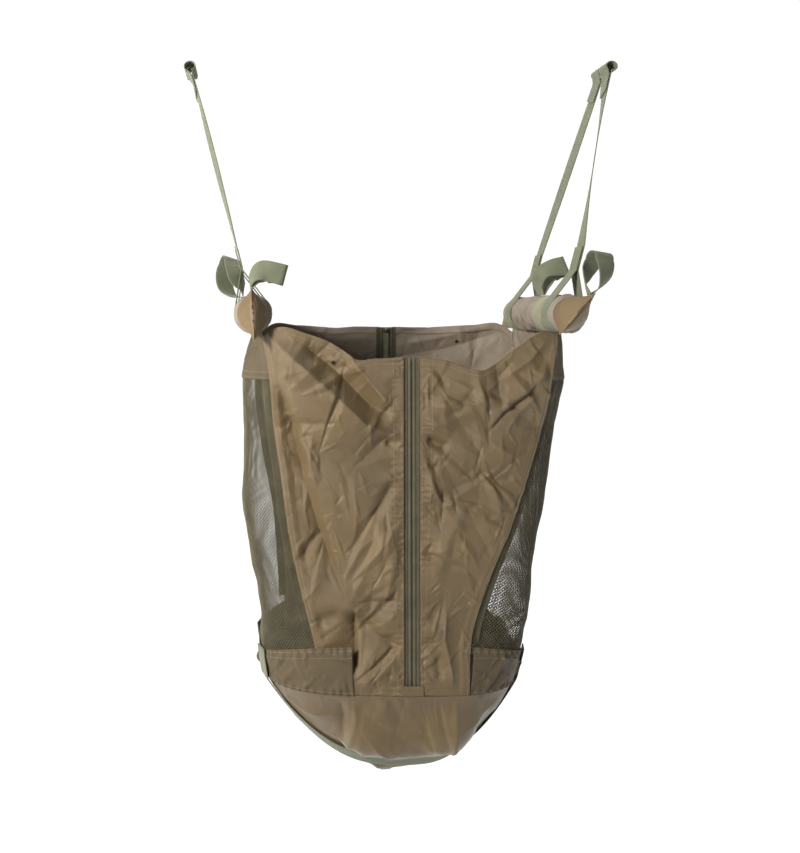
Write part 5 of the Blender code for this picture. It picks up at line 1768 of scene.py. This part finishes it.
def make_cap(side, end, axis, body):
    """A sleeve's end, sewn flat: gathered round at the bar, with a standing seam across its tip."""
    words = f"{SIDE_WORDS[side]}_{END_WORDS[end]}_cap"
    u, v = share_grid(*CAP_GRID)
    angle = 2 * pi * u
    half_width, half_height = cap_section(v)
    neck_wide, neck_high = (eased(v / share) for share in CAP_NECK_SHARES)
    half_width = np.minimum(half_width, mix(CAP_NECK, CAP_RADIUS * CAP_SHOULDER_SHARE, neck_wide))
    neck = np.minimum(half_height, mix(CAP_NECK, CAP_RADIUS, neck_high))
    half_height = np.where(v < CAP_NECK_SHARES[1], neck, half_height)
    beat = np.abs(np.sin(angle * CAP_GATHERS + CAP_GATHER_SWAY * np.sin(angle * 2)))
    gather = 1 - CAP_GATHER_DEPTH_SHARE * beat * (1 - v) ** CAP_GATHER_POWER
    around, inwards = np.sin(angle) * CAP_DENT_REACH, np.cos(angle) * CAP_DENT_TURN
    dents = cloud(around, v * CAP_DENT_REACH + inwards, CAP_DENT_SIZE, 300 + side)
    soft = 1 + CAP_DENT_SHARE * dents * v * (1 - v) * 4
    x = half_width * np.sign(np.cos(angle)) * np.abs(np.cos(angle)) ** (1 + v) * gather * soft
    x = np.where(v > CAP_SEAM_SHARE, 0, x)
    z = half_height * np.sin(angle) * gather
    y = end * (HALF_BAR + GAP + CAP_DEPTH * v)
    turn = np.array(Matrix.Rotation(CAP_ROLL[side], 3, "Y"))
    points = np.stack([x, y, z], axis=-1) @ turn.T + np.array(axis)
    middle = np.array(axis) + np.array((0, end * (HALF_BAR + CAP_DEPTH / 2), 0))
    mesh = laid_mesh(points, (angle * CAP_GIRTH, v * CAP_DEPTH), wrap=True)
    face_away(mesh, middle)
    cap = piece_from(f"{words}_cloth", mesh, [CAP_LOOK])
    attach(cap, body)
    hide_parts(words)
    facing = faced_out(points, middle)
    rows = []
    for start, stop in CAP_SEWING_HALVES:
        spots, outs = points[CAP_SEWING_ROW, start:stop], facing[CAP_SEWING_ROW, start:stop]
        rows.append((spots + CAP_SEWING_LIFT * outs, outs))
    sewn = stitches(f"{words}_stitches", rows)
    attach(sewn, body)


# The light, the floor and the view


def make_view():
    lens = bpy.data.cameras.new("camera")
    lens.sensor_fit = "VERTICAL"
    lens.sensor_height = SENSOR_HEIGHT
    lens.lens = LENS_PIXELS / PICTURE_HEIGHT * SENSOR_HEIGHT
    lens.shift_x, lens.shift_y = (pixels / PICTURE_HEIGHT for pixels in SHIFT_PIXELS)
    camera = bpy.data.objects.new("camera", lens)
    bpy.context.scene.collection.objects.link(camera)
    camera.location = CAMERA_PLACE
    camera.rotation_euler = (pi / 2, 0, 0)
    bpy.context.scene.camera = camera


def make_lamp(name, place, target, size, power, colour):
    data = bpy.data.lights.new(name, "AREA")
    data.shape = "RECTANGLE"
    data.size, data.size_y = size
    data.energy = power
    data.color = colour
    lamp = bpy.data.objects.new(name, data)
    bpy.context.scene.collection.objects.link(lamp)
    lamp.location = place
    lamp.rotation_euler = (Vector(target) - Vector(place)).to_track_quat("-Z", "Y").to_euler()


def make_sky():
    """Pale behind the camera's back and dark before it for the light, and white where the camera looks."""
    world = bpy.data.worlds.new("studio")
    bpy.context.scene.world = world
    world.use_nodes = True
    nodes, links = world.node_tree.nodes, world.node_tree.links
    background = nodes["Background"]
    where = nodes.new("ShaderNodeTexCoord")
    split = nodes.new("ShaderNodeSeparateXYZ")
    ramp = nodes.new("ShaderNodeValToRGB")
    dark, pale = ramp.color_ramp.elements
    dark.position, dark.color = SKY_DARK_AT, (*SKY_DARK, 1)
    pale.position, pale.color = SKY_PALE_AT, (*SKY_PALE, 1)
    links.new(where.outputs["Generated"], split.inputs["Vector"])
    links.new(split.outputs["Y"], ramp.inputs["Fac"])
    links.new(ramp.outputs["Color"], background.inputs["Color"])
    backdrop = nodes.new("ShaderNodeBackground")
    backdrop.inputs["Color"].default_value = (*WHITE, 1)
    backdrop.inputs["Strength"].default_value = BACKDROP_STRENGTH
    path, seen = nodes.new("ShaderNodeLightPath"), nodes.new("ShaderNodeMixShader")
    links.new(path.outputs["Is Camera Ray"], seen.inputs["Fac"])
    links.new(background.outputs["Background"], seen.inputs[1])
    links.new(backdrop.outputs["Background"], seen.inputs[2])
    links.new(seen.outputs["Shader"], nodes["World Output"].inputs["Surface"])


def make_floor():
    bm = bmesh.new()
    bmesh.ops.create_grid(bm, x_segments=1, y_segments=1, size=FLOOR_HALF_SIZE)
    look = Look("pale_floor", (0.55, 0.55, 0.55), 0.9)
    look.shader.inputs["Emission Color"].default_value = (*WHITE, 1)
    reach = look.node("ShaderNodeVectorMath", operation="DISTANCE")
    reach.inputs[1].default_value = GLOW_MIDDLE
    look.links.new(look.object, reach.inputs[0])
    glow = look.node("ShaderNodeMapRange")
    glow.inputs["From Min"].default_value, glow.inputs["From Max"].default_value = GLOW_REACH
    glow.inputs["To Min"].default_value, glow.inputs["To Max"].default_value = GLOW_STRENGTH
    look.links.new(reach.outputs["Value"], glow.inputs["Value"])
    look.links.new(glow.outputs["Result"], look.shader.inputs["Emission Strength"])
    floor = piece_from("floor", mesh_of(bm, smooth=False), [look.material])
    floor.location = (0, 0, FLOOR_HEIGHT)


THREAD_SHAPE = unit_thread()
TOOTH_SHAPE = unit_tooth()
make_view()
for this_side, this_end in CORNERS:
    make_end_panel(this_side, this_end)
    make_hang_strap(this_side, this_end)
for this_side in (LEFT, RIGHT):
    make_side(this_side)
    make_lower_band(this_side)
    make_bar(this_side)
    for this_place in (END, MIDDLE):
        make_loop(this_side, this_place)
make_bottom()
for this_end in (NEAR, FAR):
    make_girth(this_end)
    make_zip(this_end)
for word in ("near", "far"):
    for part in ("zip_slider", "pull_tab", "zip_top_stop", "zip_end_stop"):
        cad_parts[f"{word}_{part}"].material_slots[0].material = METAL
for word in ("left", "right"):
    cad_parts[f"{word}_foam_core"].material_slots[0].material = FOAM_LOOK
make_sky()
for lamp, values in LAMPS.items():
    make_lamp(lamp, *values)
make_floor()
bpy.context.scene.view_settings.view_transform = "Standard"
